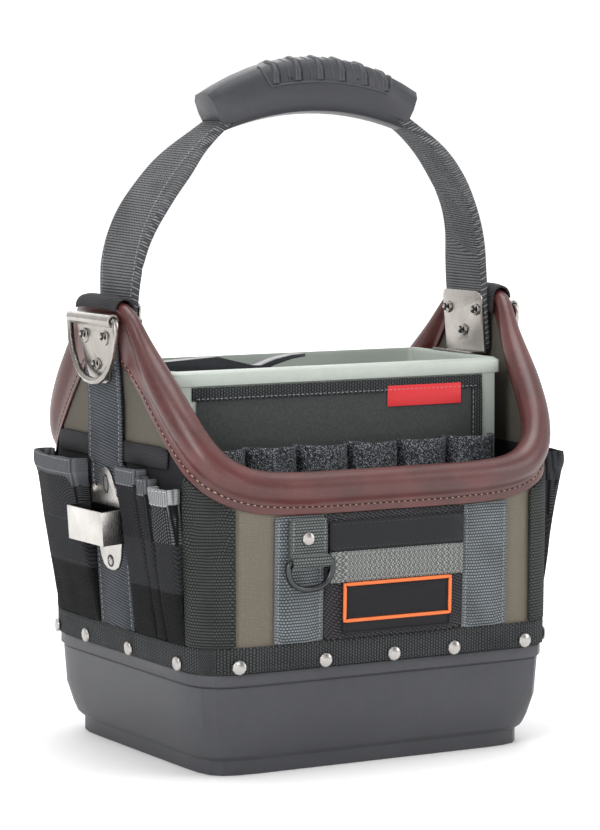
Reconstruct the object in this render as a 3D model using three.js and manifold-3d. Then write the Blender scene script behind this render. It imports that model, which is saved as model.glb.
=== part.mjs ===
// Open top tool tote: a moulded base, a canvas body with a saddle shaped padded leather rim,
// a rigid centre box, side pockets, and a webbing handle with a moulded grip.
// Millimetres. +X runs along the length, the front faces -Y, +Z is up, the origin is on the floor.
import * as THREE from 'three';
import { mergeVertices } from 'three/addons/utils/BufferGeometryUtils.js';
import Module from 'manifold-3d';

const wasm = await Module();
wasm.setup();

// Clearances
const gap = 0.3;
const layerGap = 0.4;

// Cloth, webbing and leather thicknesses
const clothThick = 2.4;
const webThick = 1.8;
const leatherThick = 2;

// Body, outside the canvas
const bagLength = 286;
const bagDepth = 246;
const mouthLength = 303;
const mouthDepth = 254;
const peakLength = 316;
const baseSquareness = 11;
const mouthSquareness = 6.2;
const peakSquareness = 2.5;

// Moulded base
const lipHeight = 73;
const lipTall = 9.5;
const lipProud = 1.6;
const tubInset = 2;
const tubWall = 3;
const tubFloor = 4.5;
const footInset = 14;
const footTall = 12;
const collarTall = 17;

// Rivet band
const bandTall = 18;
const rivetRadius = 5.5;
const rivetTall = 2.4;

// Leather rim
const rimLow = 198;
const rimHigh = 318.5;
const rollRadius = 11.5;
const peakRollRadius = 5.6;
const flangeDrop = 18.5;
const sideFlangeDrop = 21;
const peakFlangeDrop = 32;
const innerFlangeDrop = 15;

// Webbing on the body
const strapWide = 50.8;
const ringStrapWide = 29.5;
const pocketTop = 209;
const pocketBinding = 13;
const pocketDepth = 17;
const slimPocketDepth = 12;
const slimPocketStep = 5;
const slimEdges = [-29, -60, -74.5, -98];
const pocketEnd = 98;
const collarTop = 226;

// Handle
const handleStrapThick = 7;
const handleFootThick = 4.5;
const handleFlare = 2.6;
const handleLean = 13.5;
const handleTwist = 8;
const handleTilt = 1;
const gripTop = 492;
const gripTall = 40.5;
const gripHalfLength = 80;
const gripHalfWidth = 16;
const gripEndDrop = 25;
const gripUnderDrop = 13;
const gripLean = 6.5;
const strapTopDrop = 42.5;

// Black loop over each end peak
const loopSlack = 1.1;
const loopThick = 1.5;
const loopTail = 12;
const loopHalf = 31;

// End fittings
const sheetThick = 1.5;
const plateHalfWide = 26;
const plateTall = 46;
const plateCorner = 6;
const plateFoot = 14;
const plateRivetRadius = 4.6;
const plateRivetTall = 2.2;
const tubeRadius = 4.7;
const tubeHalf = 32.5;
const ringOverhang = 2.9;
const tubeOut = 2.5;
const tubeDrop = 9;
const ringPlateHalf = 28;
const ringPlateTall = 42;
const plateLean = 4.5;
const wireRadius = 2.6;
const endRingDrop = 43.5;

// Tape clip on the left strap
const clipZ = 166;
const clipStandOff = 20;
const clipHalf = 27;
const clipTall = 24;

// Centre box
const boxEndClear = 10;
const boxHalfLength = bagLength / 2 - boxEndClear;
const boxHalfDepth = 58.5;
const boxWall = 3;
const boxTop = 275;
const boxRimTall = 11;
const boxRimProud = 3.5;
const boxFloor = 30;
const boxFootClear = 3;
const boxCorner = 8;
const postWide = 11;
const postProud = 2;
const postInset = 3;
const feltThick = 1.7;
const feltLow = 105;
const catchHalfWide = 6;
const catchDrop = 13;
const catchLow = boxTop - catchDrop;
const catchTall = 17.5;
const catchEnd = 3;

// Tool loops on the centre box
const loopCount = 6;
const loopPitch = 41;
const loopDepth = 22;
const loopTall = 26;
const loopTop = 221;

// Small functions
const radians = THREE.MathUtils.degToRad;
const mix = THREE.MathUtils.lerp;
const share = (value, from, to) => THREE.MathUtils.clamp((value - from) / (to - from), 0, 1);
const eased = (value, from, to) => THREE.MathUtils.smoothstep(value, from, to);
const point = (x, y, z) => new THREE.Vector3(x, y, z);
const spread = (count) => Array.from({ length: count + 1 }, (_, i) => i / count);

// A smooth curve through a table of rows [place, value], flat beyond its ends
function tableCurve(rows, place) {
  if (place <= rows[0][0]) return rows[0][1];
  const last = rows.length - 1;
  if (place >= rows[last][0]) return rows[last][1];
  const i = rows.findIndex((row) => row[0] > place) - 1;
  const slope = (k) => {
    if (k <= 0 || k >= last) return 0;
    return (rows[k + 1][1] - rows[k - 1][1]) / (rows[k + 1][0] - rows[k - 1][0]);
  };
  const run = rows[i + 1][0] - rows[i][0];
  const t = (place - rows[i][0]) / run;
  const rise = rows[i + 1][1] - rows[i][1];
  const bend = t * (1 - t);
  const pull = bend * ((1 - t) * (slope(i) * run - rise) - t * (slope(i + 1) * run - rise));
  return rows[i][1] + rise * t + pull;
}

// Meshes from rings of points

function capTriangles(ring) {
  const normal = point(0, 0, 0);
  ring.forEach((p, i) => {
    const q = ring[(i + 1) % ring.length];
    normal.add(point((p.y - q.y) * (p.z + q.z), (p.z - q.z) * (p.x + q.x), (p.x - q.x) * (p.y + q.y)));
  });
  normal.normalize();
  const side = Math.abs(normal.z) > 0.8 ? point(1, 0, 0) : point(0, 0, 1);
  const u = side.clone().cross(normal).normalize();
  const v = normal.clone().cross(u);
  const flat = ring.map((p) => new THREE.Vector2(p.dot(u), p.dot(v)));
  return THREE.ShapeUtils.triangulateShape(flat, []).map(([a, b, c]) => {
    const turn = flat[b].clone().sub(flat[a]).cross(flat[c].clone().sub(flat[a]));
    return turn > 0 ? [ring[a], ring[b], ring[c]] : [ring[a], ring[c], ring[b]];
  });
}

function geometryOf(triangles) {
  let volume = 0;
  triangles.forEach(([a, b, c]) => {
    volume += a.dot(b.clone().cross(c));
  });
  const positions = triangles.flatMap(([a, b, c]) => {
    const corners = volume < 0 ? [a, c, b] : [a, b, c];
    return corners.flatMap((p) => [p.x, p.y, p.z]);
  });
  const geometry = new THREE.BufferGeometry();
  geometry.setAttribute('position', new THREE.Float32BufferAttribute(positions, 3));
  geometry.computeVertexNormals();
  return geometry;
}

// A solid through rings with the same number of points, capped unless the last ring meets the first
function loft(rings, loop = false) {
  const triangles = [];
  const stretches = loop ? rings.length : rings.length - 1;
  for (let i = 0; i < stretches; i += 1) {
    const a = rings[i];
    const b = rings[(i + 1) % rings.length];
    for (let j = 0; j < a.length; j += 1) {
      const k = (j + 1) % a.length;
      triangles.push([a[j], b[j], b[k]], [a[j], b[k], a[k]]);
    }
  }
  if (!loop) {
    triangles.push(...capTriangles(rings[0]));
    triangles.push(...capTriangles(rings[rings.length - 1]).map(([a, b, c]) => [a, c, b]));
  }
  return geometryOf(triangles);
}

// Joining and cutting

function bodyOf(geometry) {
  const bare = geometry.clone();
  bare.deleteAttribute('normal');
  bare.deleteAttribute('uv');
  const merged = mergeVertices(bare, 1e-4);
  const mesh = new wasm.Mesh({
    numProp: 3,
    vertProperties: new Float32Array(merged.attributes.position.array),
    triVerts: new Uint32Array(merged.index.array),
  });
  return new wasm.Manifold(mesh);
}

function geometryFrom(body) {
  const mesh = body.getMesh();
  const geometry = new THREE.BufferGeometry();
  geometry.setAttribute('position', new THREE.Float32BufferAttribute(mesh.vertProperties, 3));
  geometry.setIndex(Array.from(mesh.triVerts));
  geometry.computeVertexNormals();
  return geometry;
}

function joined(geometries, cuts = []) {
  const whole = geometries.map(bodyOf).reduce((sum, body) => sum.add(body));
  return geometryFrom(cuts.map(bodyOf).reduce((rest, body) => rest.subtract(body), whole));
}

const turned = (geometry) => geometry.clone().rotateZ(Math.PI);

function mirrored(geometry) {
  const copy = (geometry.index ? geometry.toNonIndexed() : geometry.clone());
  const places = copy.attributes.position;
  for (let i = 0; i < places.count; i += 3) {
    const corners = [0, 2, 1].map((k) => [-places.getX(i + k), places.getY(i + k), places.getZ(i + k)]);
    corners.forEach(([x, y, z], k) => places.setXYZ(i + k, x, y, z));
  }
  copy.computeVertexNormals();
  return copy;
}

function box(low, high) {
  const size = [0, 1, 2].map((k) => high[k] - low[k]);
  const shape = new THREE.BoxGeometry(...size);
  shape.translate(...[0, 1, 2].map((k) => (low[k] + high[k]) / 2));
  return shape;
}

// The body's wall: a squarish oval in plan, a little wider at the mouth, flared at the end peaks
// and straight between its levels. An angle is measured from the middle of the front, towards +X.

const flareStart = mix(rimLow, rimHigh, 0.42);
const wallLevels = [lipHeight, rimLow, flareStart, rimHigh];
const wallPlans = [
  { a: bagLength / 2, b: bagDepth / 2, n: baseSquareness },
  { a: mouthLength / 2, b: mouthDepth / 2, n: mouthSquareness },
  { a: mouthLength / 2, b: mouthDepth / 2, n: mix(mouthSquareness, peakSquareness, 0.42) },
  { a: peakLength / 2, b: mouthDepth / 2, n: peakSquareness },
];

function ovalPoint(plan, angle, z, out) {
  const s = Math.sin(angle);
  const c = -Math.cos(angle);
  const reach = (Math.abs(s) ** plan.n + Math.abs(c) ** plan.n) ** (-1 / plan.n);
  const nx = (Math.sign(s) * Math.abs(s * reach) ** (plan.n - 1)) / plan.a;
  const ny = (Math.sign(c) * Math.abs(c * reach) ** (plan.n - 1)) / plan.b;
  const size = Math.hypot(nx, ny);
  return point(plan.a * reach * s + (out * nx) / size, plan.b * reach * c + (out * ny) / size, z);
}

function wallPoint(angle, z, out) {
  const i = z < rimLow ? 0 : 1 + (z >= flareStart);
  const t = (z - wallLevels[i]) / (wallLevels[i + 1] - wallLevels[i]);
  return ovalPoint(wallPlans[i], angle, z, out).lerp(ovalPoint(wallPlans[i + 1], angle, z, out), t);
}

// The angle of a place on the front or back (by x), or on an end (by y)
function angleWhere(reached, start, end) {
  let [low, high] = [start, end];
  for (let i = 0; i < 40; i += 1) {
    const middle = (low + high) / 2;
    if (reached(middle)) high = middle;
    else low = middle;
  }
  return (low + high) / 2;
}

function angleAtX(x, z, face = -1) {
  const angle = angleWhere((turn) => wallPoint(turn, z, 0).x >= x, -Math.PI / 2, Math.PI / 2);
  return face < 0 ? angle : Math.PI - angle;
}

function angleAtY(y, z, end) {
  return end * angleWhere((turn) => wallPoint(turn, z, 0).y >= y, 0, Math.PI);
}

// Angles shared by everything that follows the wall, in degrees from the front to an end:
// closer together at the corners and on the shoulders of the peaks
const quarterDegrees = [0, 15, 28, 36, 40.5, 44, 47.5, 52, 58, 64, 69, 73.5, 78];
const toEnd = [...quarterDegrees, 90];
const wallAngles = [
  ...toEnd.map((degrees) => degrees - 180),
  ...quarterDegrees.slice(1).reverse().map((degrees) => -degrees),
  ...toEnd,
  ...quarterDegrees.slice(1).reverse().map((degrees) => 180 - degrees),
].map(radians);

// Height of the leather roll's middle, as a share from rimLow to rimHigh:
// rows of [degrees round from the middle of the front or back, share]
const rimRows = [
  [29, 0], [34.6, 0.017], [39.5, 0.068], [43.8, 0.144], [48.1, 0.25], [54.3, 0.425],
  [59.8, 0.56], [66.1, 0.715], [70.1, 0.84], [73, 0.94], [75.8, 0.985], [79, 1],
];

function foldedDegrees(angle) {
  const round = Math.abs(THREE.MathUtils.radToDeg(Math.atan2(Math.sin(angle), Math.cos(angle))));
  return Math.min(round, 180 - round);
}

const rimHeight = (angle) => mix(rimLow, rimHigh, tableCurve(rimRows, foldedDegrees(angle)));
const rollAt = (angle) => mix(rollRadius, peakRollRadius, eased(foldedDegrees(angle), 60, 73));

function flangeAt(angle) {
  const place = foldedDegrees(angle);
  const side = mix(flangeDrop, sideFlangeDrop, eased(place, 38, 56));
  return mix(side, peakFlangeDrop, eased(place, 62, 75));
}

// A place beside the roll's middle line: up is measured square to that line, within the wall
function rimPlace(angle, up) {
  const z = rimHeight(angle);
  const small = 0.01;
  const run = wallPoint(angle + small, z, 0).distanceTo(wallPoint(angle - small, z, 0));
  const rise = rimHeight(angle + small) - rimHeight(angle - small);
  const length = Math.hypot(run, rise);
  return { angle: angle - ((up * rise) / length / run) * 2 * small, z: z + (up * run) / length };
}

function rimPoint(angle, out, up) {
  const place = rimPlace(angle, up);
  return wallPoint(place.angle, place.z, out);
}

// Height at a given angle of the line that lies a drop below the roll's middle line
function heightUnderRim(angle, dropAt) {
  let start = angle;
  let place = rimPlace(start, -dropAt(start));
  for (let i = 0; i < 12; i += 1) {
    start += (angle - place.angle) * 0.7;
    place = rimPlace(start, -dropAt(start));
  }
  return place.z;
}

const underFlange = (angle) => heightUnderRim(angle, flangeAt) - layerGap;

// Flat pieces that follow the wall

const frontEdge = (x) => (z) => angleAtX(x, z, -1);
const leftEdge = (y) => (z) => angleAtY(y, z, -1);
const rightEdge = (y) => (z) => angleAtY(y, z, 1);
const backEdge = (x) => (z) => angleAtX(x, z, 1);

function roundTo(angle, near) {
  return angle + 2 * Math.PI * Math.round((near - angle) / (2 * Math.PI));
}

// A panel from one edge, round towards +angle, to another. low and high give heights,
// inner and outer give distances from the wall.
function panel({ from, to, low, high, inner = layerGap, outer, rows = 4, levels = spread(rows) }) {
  const height = (edge, limit) => {
    const first = edge((lipHeight + rimLow) / 2);
    return limit(edge(limit(first)));
  };
  const distance = (value, z) => (typeof value === 'function' ? value(z) : value);
  const lowAt = typeof low === 'function' ? low : () => low;
  const highAt = typeof high === 'function' ? high : () => high;
  const column = (angleAt, z0, z1) => {
    const heights = levels.map((t) => mix(z0, z1, t));
    const outside = heights.map((z) => wallPoint(angleAt(z), z, distance(outer, z)));
    const inside = heights.map((z) => wallPoint(angleAt(z), z, distance(inner, z))).reverse();
    return [...outside, ...inside];
  };
  const z0 = height(from, lowAt);
  const z1 = height(from, highAt);
  const start = (z) => from(z);
  const end = (z) => {
    const angle = roundTo(to(z), from(z));
    return angle < from(z) ? angle + 2 * Math.PI : angle;
  };
  const margin = radians(0.25);
  const starts = [start(z0), start(z1)];
  const ends = [end(height(to, lowAt)), end(height(to, highAt))];
  const within = (angle) => (z) => THREE.MathUtils.clamp(angle, start(z) + margin, end(z) - margin);
  const between = [-1, 0, 1].flatMap((turn) => wallAngles.map((angle) => angle + turn * 2 * Math.PI))
    .filter((angle) => angle > Math.min(...starts) + margin && angle < Math.max(...ends) - margin)
    .sort((a, b) => a - b);
  const columns = [
    column(start, z0, z1),
    ...between.map((angle) => column(within(angle), lowAt(angle), highAt(angle))),
    column(end, height(to, lowAt), height(to, highAt)),
  ];
  return loft(columns);
}

// A frame on the wall: x to the right as seen from outside, -y outwards, z up
function wallFrame(angle, z, out) {
  const small = 0.5;
  const place = wallPoint(angle, z, out);
  const level = place.clone().sub(wallPoint(angle, z, out + small));
  const up = wallPoint(angle, z + small, out).sub(wallPoint(angle, z - small, out)).normalize();
  const right = level.cross(up).normalize();
  const inward = up.clone().cross(right);
  const matrix = new THREE.Matrix4().makeBasis(right, inward, up);
  return matrix.setPosition(place);
}

// Shapes drawn in a plane and given a thickness

function outlineShape(points) {
  return new THREE.Shape(points.map(([x, y]) => new THREE.Vector2(x, y)));
}

// Outline in x and z, thickness from y = near to y = far
function uprightSheet(shape, near, far, curveSegments = 6) {
  const sheet = new THREE.ExtrudeGeometry(shape, { depth: far - near, bevelEnabled: false, curveSegments });
  sheet.rotateX(Math.PI / 2);
  sheet.translate(0, far, 0);
  return sheet;
}

// Outline in y and z, length from x = -half to x = half
function alongX(shape, half, curveSegments = 6) {
  const bar = new THREE.ExtrudeGeometry(shape, { depth: 2 * half, bevelEnabled: false, curveSegments });
  bar.rotateY(Math.PI / 2);
  bar.rotateX(Math.PI / 2);
  bar.translate(-half, 0, 0);
  return bar;
}

function ringShape(cx, cy, outer, inner) {
  const shape = new THREE.Shape();
  shape.absarc(cx, cy, outer, 0, 2 * Math.PI);
  const hole = new THREE.Path();
  hole.absarc(cx, cy, inner, 0, 2 * Math.PI, true);
  shape.holes.push(hole);
  return shape;
}

// A round wire along a closed flat path of [x, z] points, in the plane y = 0
function wireLoop(path, radius, sides = 8) {
  const rings = path.map((here, i) => {
    const before = path[(i + path.length - 1) % path.length];
    const after = path[(i + 1) % path.length];
    const tangent = new THREE.Vector2(after[0] - before[0], after[1] - before[1]).normalize();
    return Array.from({ length: sides }, (_, k) => {
      const turn = (2 * Math.PI * (k + 0.5)) / sides;
      const across = radius * Math.cos(turn);
      return point(here[0] + tangent.y * across, radius * Math.sin(turn), here[1] - tangent.x * across);
    });
  });
  return loft(rings, true);
}

// A D shaped path: a straight bar at z = 0 with small corners, and a bow below it
function dPath(halfWide, drop, corner, roundness) {
  const bow = spread(12).slice(1, -1).map((t) => {
    const turn = Math.PI * t;
    const wide = Math.sign(Math.cos(turn)) * Math.abs(Math.cos(turn)) ** roundness;
    return [halfWide * wide, -corner - (drop - corner) * Math.sin(turn) ** roundness];
  });
  return [
    [-halfWide + corner, 0], [0, 0], [halfWide - corner, 0],
    [halfWide - corner * 0.3, -corner * 0.3], [halfWide, -corner],
    ...bow,
    [-halfWide, -corner], [-halfWide + corner * 0.3, -corner * 0.3],
  ];
}

// A low domed rivet head standing on the plane y = 0 and pointing to -y
function rivetHead(radius, tall, sides = 10) {
  const profile = [[0, 0], [radius, 0], [radius * 0.88, tall * 0.6], [0, tall]];
  const head = new THREE.LatheGeometry(profile.map(([r, h]) => new THREE.Vector2(r, h)), sides);
  head.rotateX(Math.PI);
  return geometryFrom(bodyOf(head));
}

// Materials
const finish = (color, roughness, metalness = 0) => ({ color, roughness, metalness });
const finishes = {
  charcoalPlastic: finish(0x55565a, 0.5),
  greyPlastic: finish(0xb2b9b2, 0.45),
  blackPlastic: finish(0x26272b, 0.4),
  taupeCanvas: finish(0x87806c, 0.9),
  blackWeb: finish(0x24272a, 0.9),
  blackCloth: finish(0x1c1d1f, 0.95),
  greyWeb: finish(0x5d6570, 0.9),
  handleWeb: finish(0x4c4f52, 0.9),
  loopWeb: finish(0x45484c, 0.95),
  felt: finish(0x4b4e4e, 1),
  leather: finish(0x784848, 0.4),
  nickel: finish(0xb9b2ab, 0.25, 1),
  gunmetal: finish(0x45474a, 0.3, 1),
  tagRed: finish(0xc8232c, 0.6),
  patchOrange: finish(0xd8622a, 0.6),
  labelDark: finish(0x2c2d30, 0.6),
};

const tote = new THREE.Group();

function add(name, geometry, finishName, matrix = null) {
  const mesh = new THREE.Mesh(geometry, new THREE.MeshStandardMaterial(finishes[finishName]));
  mesh.name = name;
  if (matrix) {
    matrix.decompose(mesh.position, mesh.quaternion, mesh.scale);
  }
  tote.add(mesh);
}

function addPair(name, leftGeometry, finishName, other = mirrored) {
  add(`${name}_left`, leftGeometry, finishName);
  add(`${name}_right`, other(leftGeometry), finishName);
}

// Moulded base: an open tub with an inset foot, a lip, and a collar inside the canvas

function baseTub() {
  const wallInset = tubInset;
  const collarInset = clothThick + layerGap;
  const grooveZ = lipHeight - lipTall;
  const rows = [
    [footInset, 0],
    [footInset, footTall * 0.85],
    [footInset * 0.72, footTall * 1.15],
    [wallInset + 5.5, footTall * 1.75],
    [wallInset + 1.6, footTall * 3],
    [wallInset, grooveZ - 0.8],
    [wallInset + 0.9, grooveZ],
    [wallInset - lipProud, grooveZ + 1],
    [wallInset - lipProud, lipHeight - layerGap],
    [collarInset, lipHeight - layerGap],
    [collarInset, lipHeight + collarTall],
    [collarInset + tubWall, lipHeight + collarTall],
    [collarInset + tubWall, grooveZ],
    [wallInset + tubWall + 2.4, footTall * 2.6],
    [footInset + tubWall, footTall + tubFloor],
    [footInset + tubWall + 2, tubFloor],
  ];
  const plan = wallPlans[0];
  return loft(rows.map(([inset, z]) => {
    const level = { a: plan.a - inset, b: plan.b - inset, n: plan.n };
    return wallAngles.map((angle) => ovalPoint(level, angle, z, 0));
  }));
}

// Canvas body: one wall whose top runs up into the leather roll
const slotDrop = (angle) => rollAt(angle) - 1.2;

function bodyShell() {
  const knots = wallLevels.slice(0, -1);
  const columns = wallAngles.map((angle) => {
    const top = heightUnderRim(angle, (place) => slotDrop(place) + gap);
    const heights = [...knots.map((z, i) => Math.min(z, top - 2 * (knots.length - i))), top];
    const side = (out) => heights.map((z) => wallPoint(angle, z, out));
    return [...side(0), ...side(-clothThick).reverse()];
  });
  return loft(columns, true);
}

// Padded leather rim: a roll over the wall's edge with a flange down each side of the wall
function leatherRim() {
  const arcSteps = 9;
  const middle = -clothThick / 2;
  const outFace = layerGap + leatherThick;
  const seat = 1.5 * layerGap;
  const inFace = -clothThick - 2 * layerGap;
  const rings = wallAngles.map((angle) => {
    const roll = rollAt(angle);
    const start = Math.acos((outFace - middle) / roll);
    const arc = spread(arcSteps).map((t) => {
      const turn = mix(-start, Math.PI + start, t);
      return [middle + roll * Math.cos(turn), roll * Math.sin(turn)];
    });
    const innerDrop = (place) => Math.min(innerFlangeDrop, rollAt(place) + 3.5);
    const halfFlange = (place) => (flangeAt(place) + slotDrop(place)) / 2;
    const under = (out, drop) => wallPoint(angle, heightUnderRim(angle, drop), out);
    return [
      under(seat, flangeAt),
      under(outFace, flangeAt),
      under(outFace, halfFlange),
      ...arc.map(([out, up]) => rimPoint(angle, out, up)),
      under(inFace - leatherThick, innerDrop),
      under(inFace, innerDrop),
      under(inFace, slotDrop),
      under(seat, slotDrop),
      under(seat, halfFlange),
    ];
  });
  return loft(rings, true);
}

// Rivet band round the foot of the canvas
const bandTop = lipHeight + bandTall;
const bandSeat = 1.5 * layerGap;
const bandFace = bandSeat + webThick;

function rivetBand() {
  const low = lipHeight + gap;
  const columns = wallAngles.map((angle) => [
    wallPoint(angle, low, bandSeat), wallPoint(angle, low, bandFace),
    wallPoint(angle, bandTop, bandFace), wallPoint(angle, bandTop, bandSeat),
  ]);
  return loft(columns, true);
}

add('base_tub', baseTub(), 'charcoalPlastic');
add('body_shell', bodyShell(), 'taupeCanvas');
add('leather_rim', leatherRim(), 'leather');
add('rivet_band', rivetBand(), 'blackWeb');

// Rivets through the band: places along the front, and along each end
const rivetZ = lipHeight + 5;
const frontRivets = [-0.815, -0.35, 0.035, 0.38, 0.8].map((s) => (s * bagLength) / 2);
const endRivets = [-0.72, -0.13, 0.42, 0.83].map((s) => (s * bagDepth) / 2);
frontRivets.forEach((x, i) => {
  const matrix = wallFrame(angleAtX(x, rivetZ), rivetZ, bandFace + gap);
  add(`band_rivet_front_${i + 1}`, rivetHead(rivetRadius, rivetTall), 'nickel', matrix);
});
[-1, 1].forEach((end) => endRivets.forEach((y, i) => {
  const matrix = wallFrame(angleAtY(-end * y, rivetZ, end), rivetZ, bandFace + gap);
  const name = `band_rivet_${end < 0 ? 'left' : 'right'}_${i + 1}`;
  add(name, rivetHead(rivetRadius, rivetTall), 'nickel', matrix);
}));

// Webbing and panels on the front: their edges along x
const edgeGap = gap;
const cornerX = 0.83 * (bagLength / 2);
const webLeftX = [-90.5, -51.9];
const centreX = [webLeftX[1] + edgeGap, 60.3];
const webRightX = [centreX[1] + edgeGap, 98];
const panelLow = bandTop + gap;
const webFace = layerGap + webThick;
const overWeb = webFace + layerGap;

const frontPanel = (edges, options = {}) => panel({
  from: frontEdge(edges[0]), to: frontEdge(edges[1]), low: panelLow, high: underFlange, outer: webFace, ...options,
});

add('front_webbing_left', frontPanel(webLeftX), 'greyWeb');
add('front_webbing_right', frontPanel(webRightX), 'greyWeb');
add('centre_panel', frontPanel(centreX), 'blackCloth');

// Bare label plate, grey band and framed patch on the centre panel
const labelLow = 153;
const labelHigh = 174;
const greyBandLow = 131;
const patchLow = 94.5;
const onPanel = (edges, low, high, thick) => frontPanel(edges, {
  low, high, inner: overWeb, outer: overWeb + thick, rows: 2,
});
add('label_plate', onPanel([centreX[0] + 2.6, centreX[1] - 0.5], labelLow, labelHigh, 1.4), 'labelDark');
add('grey_band', onPanel([centreX[0] + 2.6, centreX[1] - 0.5], greyBandLow, labelLow - gap, webThick), 'greyWeb');
add('framed_patch', onPanel([-37.5, 50], patchLow, greyBandLow - gap, 1.5), 'patchOrange');

// Dark webbing round the four corners, from the pockets to the front and back
const cornerEdge = 0.5;
const besidePocket = pocketEnd + cornerEdge;
const cornerPanel = (from, to) => panel({
  from, to, low: panelLow, high: underFlange, inner: 2 * layerGap, outer: layerGap + webFace, rows: 5,
});
add('corner_webbing_front_left', cornerPanel(leftEdge(-besidePocket), frontEdge(-cornerX)), 'blackWeb');
add('corner_webbing_front_right', cornerPanel(frontEdge(cornerX), rightEdge(-besidePocket)), 'blackWeb');
add('corner_webbing_back_right', cornerPanel(rightEdge(besidePocket), backEdge(cornerX)), 'blackWeb');
add('corner_webbing_back_left', cornerPanel(backEdge(-cornerX), leftEdge(besidePocket)), 'blackWeb');

// Side straps, black collar bands and pockets
const collarLow = pocketTop + 2;
const strapLift = (z) => (layerGap + leatherThick) * share(z, collarLow - 4, collarLow - 0.5);
const strapTop = rimHigh - 16;
const halfStrap = strapWide / 2;

const sideStrap = panel({
  from: leftEdge(halfStrap), to: leftEdge(-halfStrap), low: panelLow, high: strapTop,
  inner: (z) => layerGap + strapLift(z), outer: (z) => webFace + strapLift(z),
  levels: [
    panelLow, mix(panelLow, rimLow, 0.4), rimLow, collarLow - 4, collarLow - 0.5, flareStart,
    mix(flareStart, strapTop, 0.5), strapTop,
  ].map((z) => (z - panelLow) / (strapTop - panelLow)),
});
addPair('side_strap', sideStrap, 'greyWeb');

const collarEnd = 0.66 * (mouthDepth / 2);
const collarBand = panel({
  from: leftEdge(collarEnd), to: leftEdge(-collarEnd), low: collarLow,
  high: (angle) => Math.min(collarTop, underFlange(angle)), inner: 2 * layerGap, outer: layerGap + leatherThick,
  rows: 1,
});
addPair('collar_band', collarBand, 'blackWeb');

// A pocket stands off the wall between two places y0 > y1 along an end.
// Levels are [share up, share of the depth, distance of the sewn edges from the wall]
function pocket(y0, y1, top, depth) {
  const low = panelLow;
  const bound = 1 - pocketBinding / (top - low);
  const overFlange = leatherThick + 2 * layerGap;
  const levels = [
    [0, 0.16, layerGap], [0.5, 0.66, layerGap], [bound, 0.95, overFlange],
    [bound + 0.005, 1.03, overFlange], [1, 1.06, overFlange],
  ];
  const rows = levels.map(([up, out, seat]) => {
    const z = mix(low, top, up);
    const reach = Math.max(depth * out, webThick + 2 * layerGap);
    const side = (inset) => {
      const far = reach - inset;
      const along = (t) => mix(y0 - inset, y1 + inset, t);
      const places = [
        [along(0), seat], [along(0), far * 0.75], [along(0) - 2, far], [along(0.25), far * 1.05],
        [along(0.5), far * 1.06], [along(0.75), far * 1.05], [along(1) + 2, far],
        [along(1), far * 0.75], [along(1), seat],
      ];
      return places.map(([y, stand]) => wallPoint(angleAtY(y, z, -1), z, Math.max(stand, seat)));
    };
    return [...side(0), ...side(webThick).reverse()];
  });
  return loft(rows);
}

const strapEdge = clipHalf + 1.5;
addPair('large_pocket', pocket(pocketEnd, strapEdge, pocketTop, pocketDepth), 'blackWeb', turned);
[0, 1, 2].forEach((i) => {
  const start = slimEdges[i] - (i > 0 ? layerGap : 0);
  const top = pocketTop - slimPocketStep * i;
  addPair(`slim_pocket_${i + 1}`, pocket(start, slimEdges[i + 1], top, slimPocketDepth), 'blackWeb', turned);
});

// Ring strap on the left front webbing, with an eye at its foot for the ring
const ringBarRadius = 2.2;
const eyeHole = ringBarRadius + 0.5;
const eyeOuter = eyeHole + webThick;
const ringStrapX = -66;
const ringStrapTop = 179 - layerGap;
const ringBarZ = 148;
const ringStrapFoot = wallFrame(angleAtX(ringStrapX, ringBarZ), ringBarZ, overWeb + gap);

function ringStrap() {
  const tall = ringStrapTop - ringBarZ - 1;
  const flat = outlineShape([[0, 0], [-2 * webThick, 0], [-2 * webThick, tall], [0, tall]]);
  const eye = ringShape(-eyeOuter, 0, eyeOuter, eyeHole);
  const bore = new THREE.Shape();
  bore.absarc(-eyeOuter, 0, eyeHole, 0, 2 * Math.PI);
  const half = ringStrapWide / 2;
  return joined([alongX(flat, half), alongX(eye, half)], [alongX(bore, half + 1)]);
}

add('ring_strap', ringStrap(), 'greyWeb', ringStrapFoot);

const frontRing = wireLoop(dPath(ringStrapWide / 2 + 2.6, 19, 2.4, 0.85), ringBarRadius, 6);
const frontRingPlace = new THREE.Matrix4().makeTranslation(0, -eyeOuter, 0).premultiply(ringStrapFoot);
add('front_ring', frontRing, 'gunmetal', frontRingPlace);
const ringRivetPlace = new THREE.Matrix4().makeTranslation(-1, -2 * webThick - gap, 16).premultiply(ringStrapFoot);
add('ring_rivet', rivetHead(5, 2), 'nickel', ringRivetPlace);

// Centre box: a tall rigid box standing on the base's floor, with a rim and corner posts
function roundedRing(halfX, halfY, radius, z) {
  const steps = 3;
  return [[1, 1, 0], [-1, 1, 90], [-1, -1, 180], [1, -1, 270]].flatMap(([sx, sy, first]) => (
    spread(steps).map((t) => {
      const turn = radians(first + 90 * t);
      return point(
        sx * (halfX - radius) + radius * Math.cos(turn),
        sy * (halfY - radius) + radius * Math.sin(turn),
        z,
      );
    })
  ));
}

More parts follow.
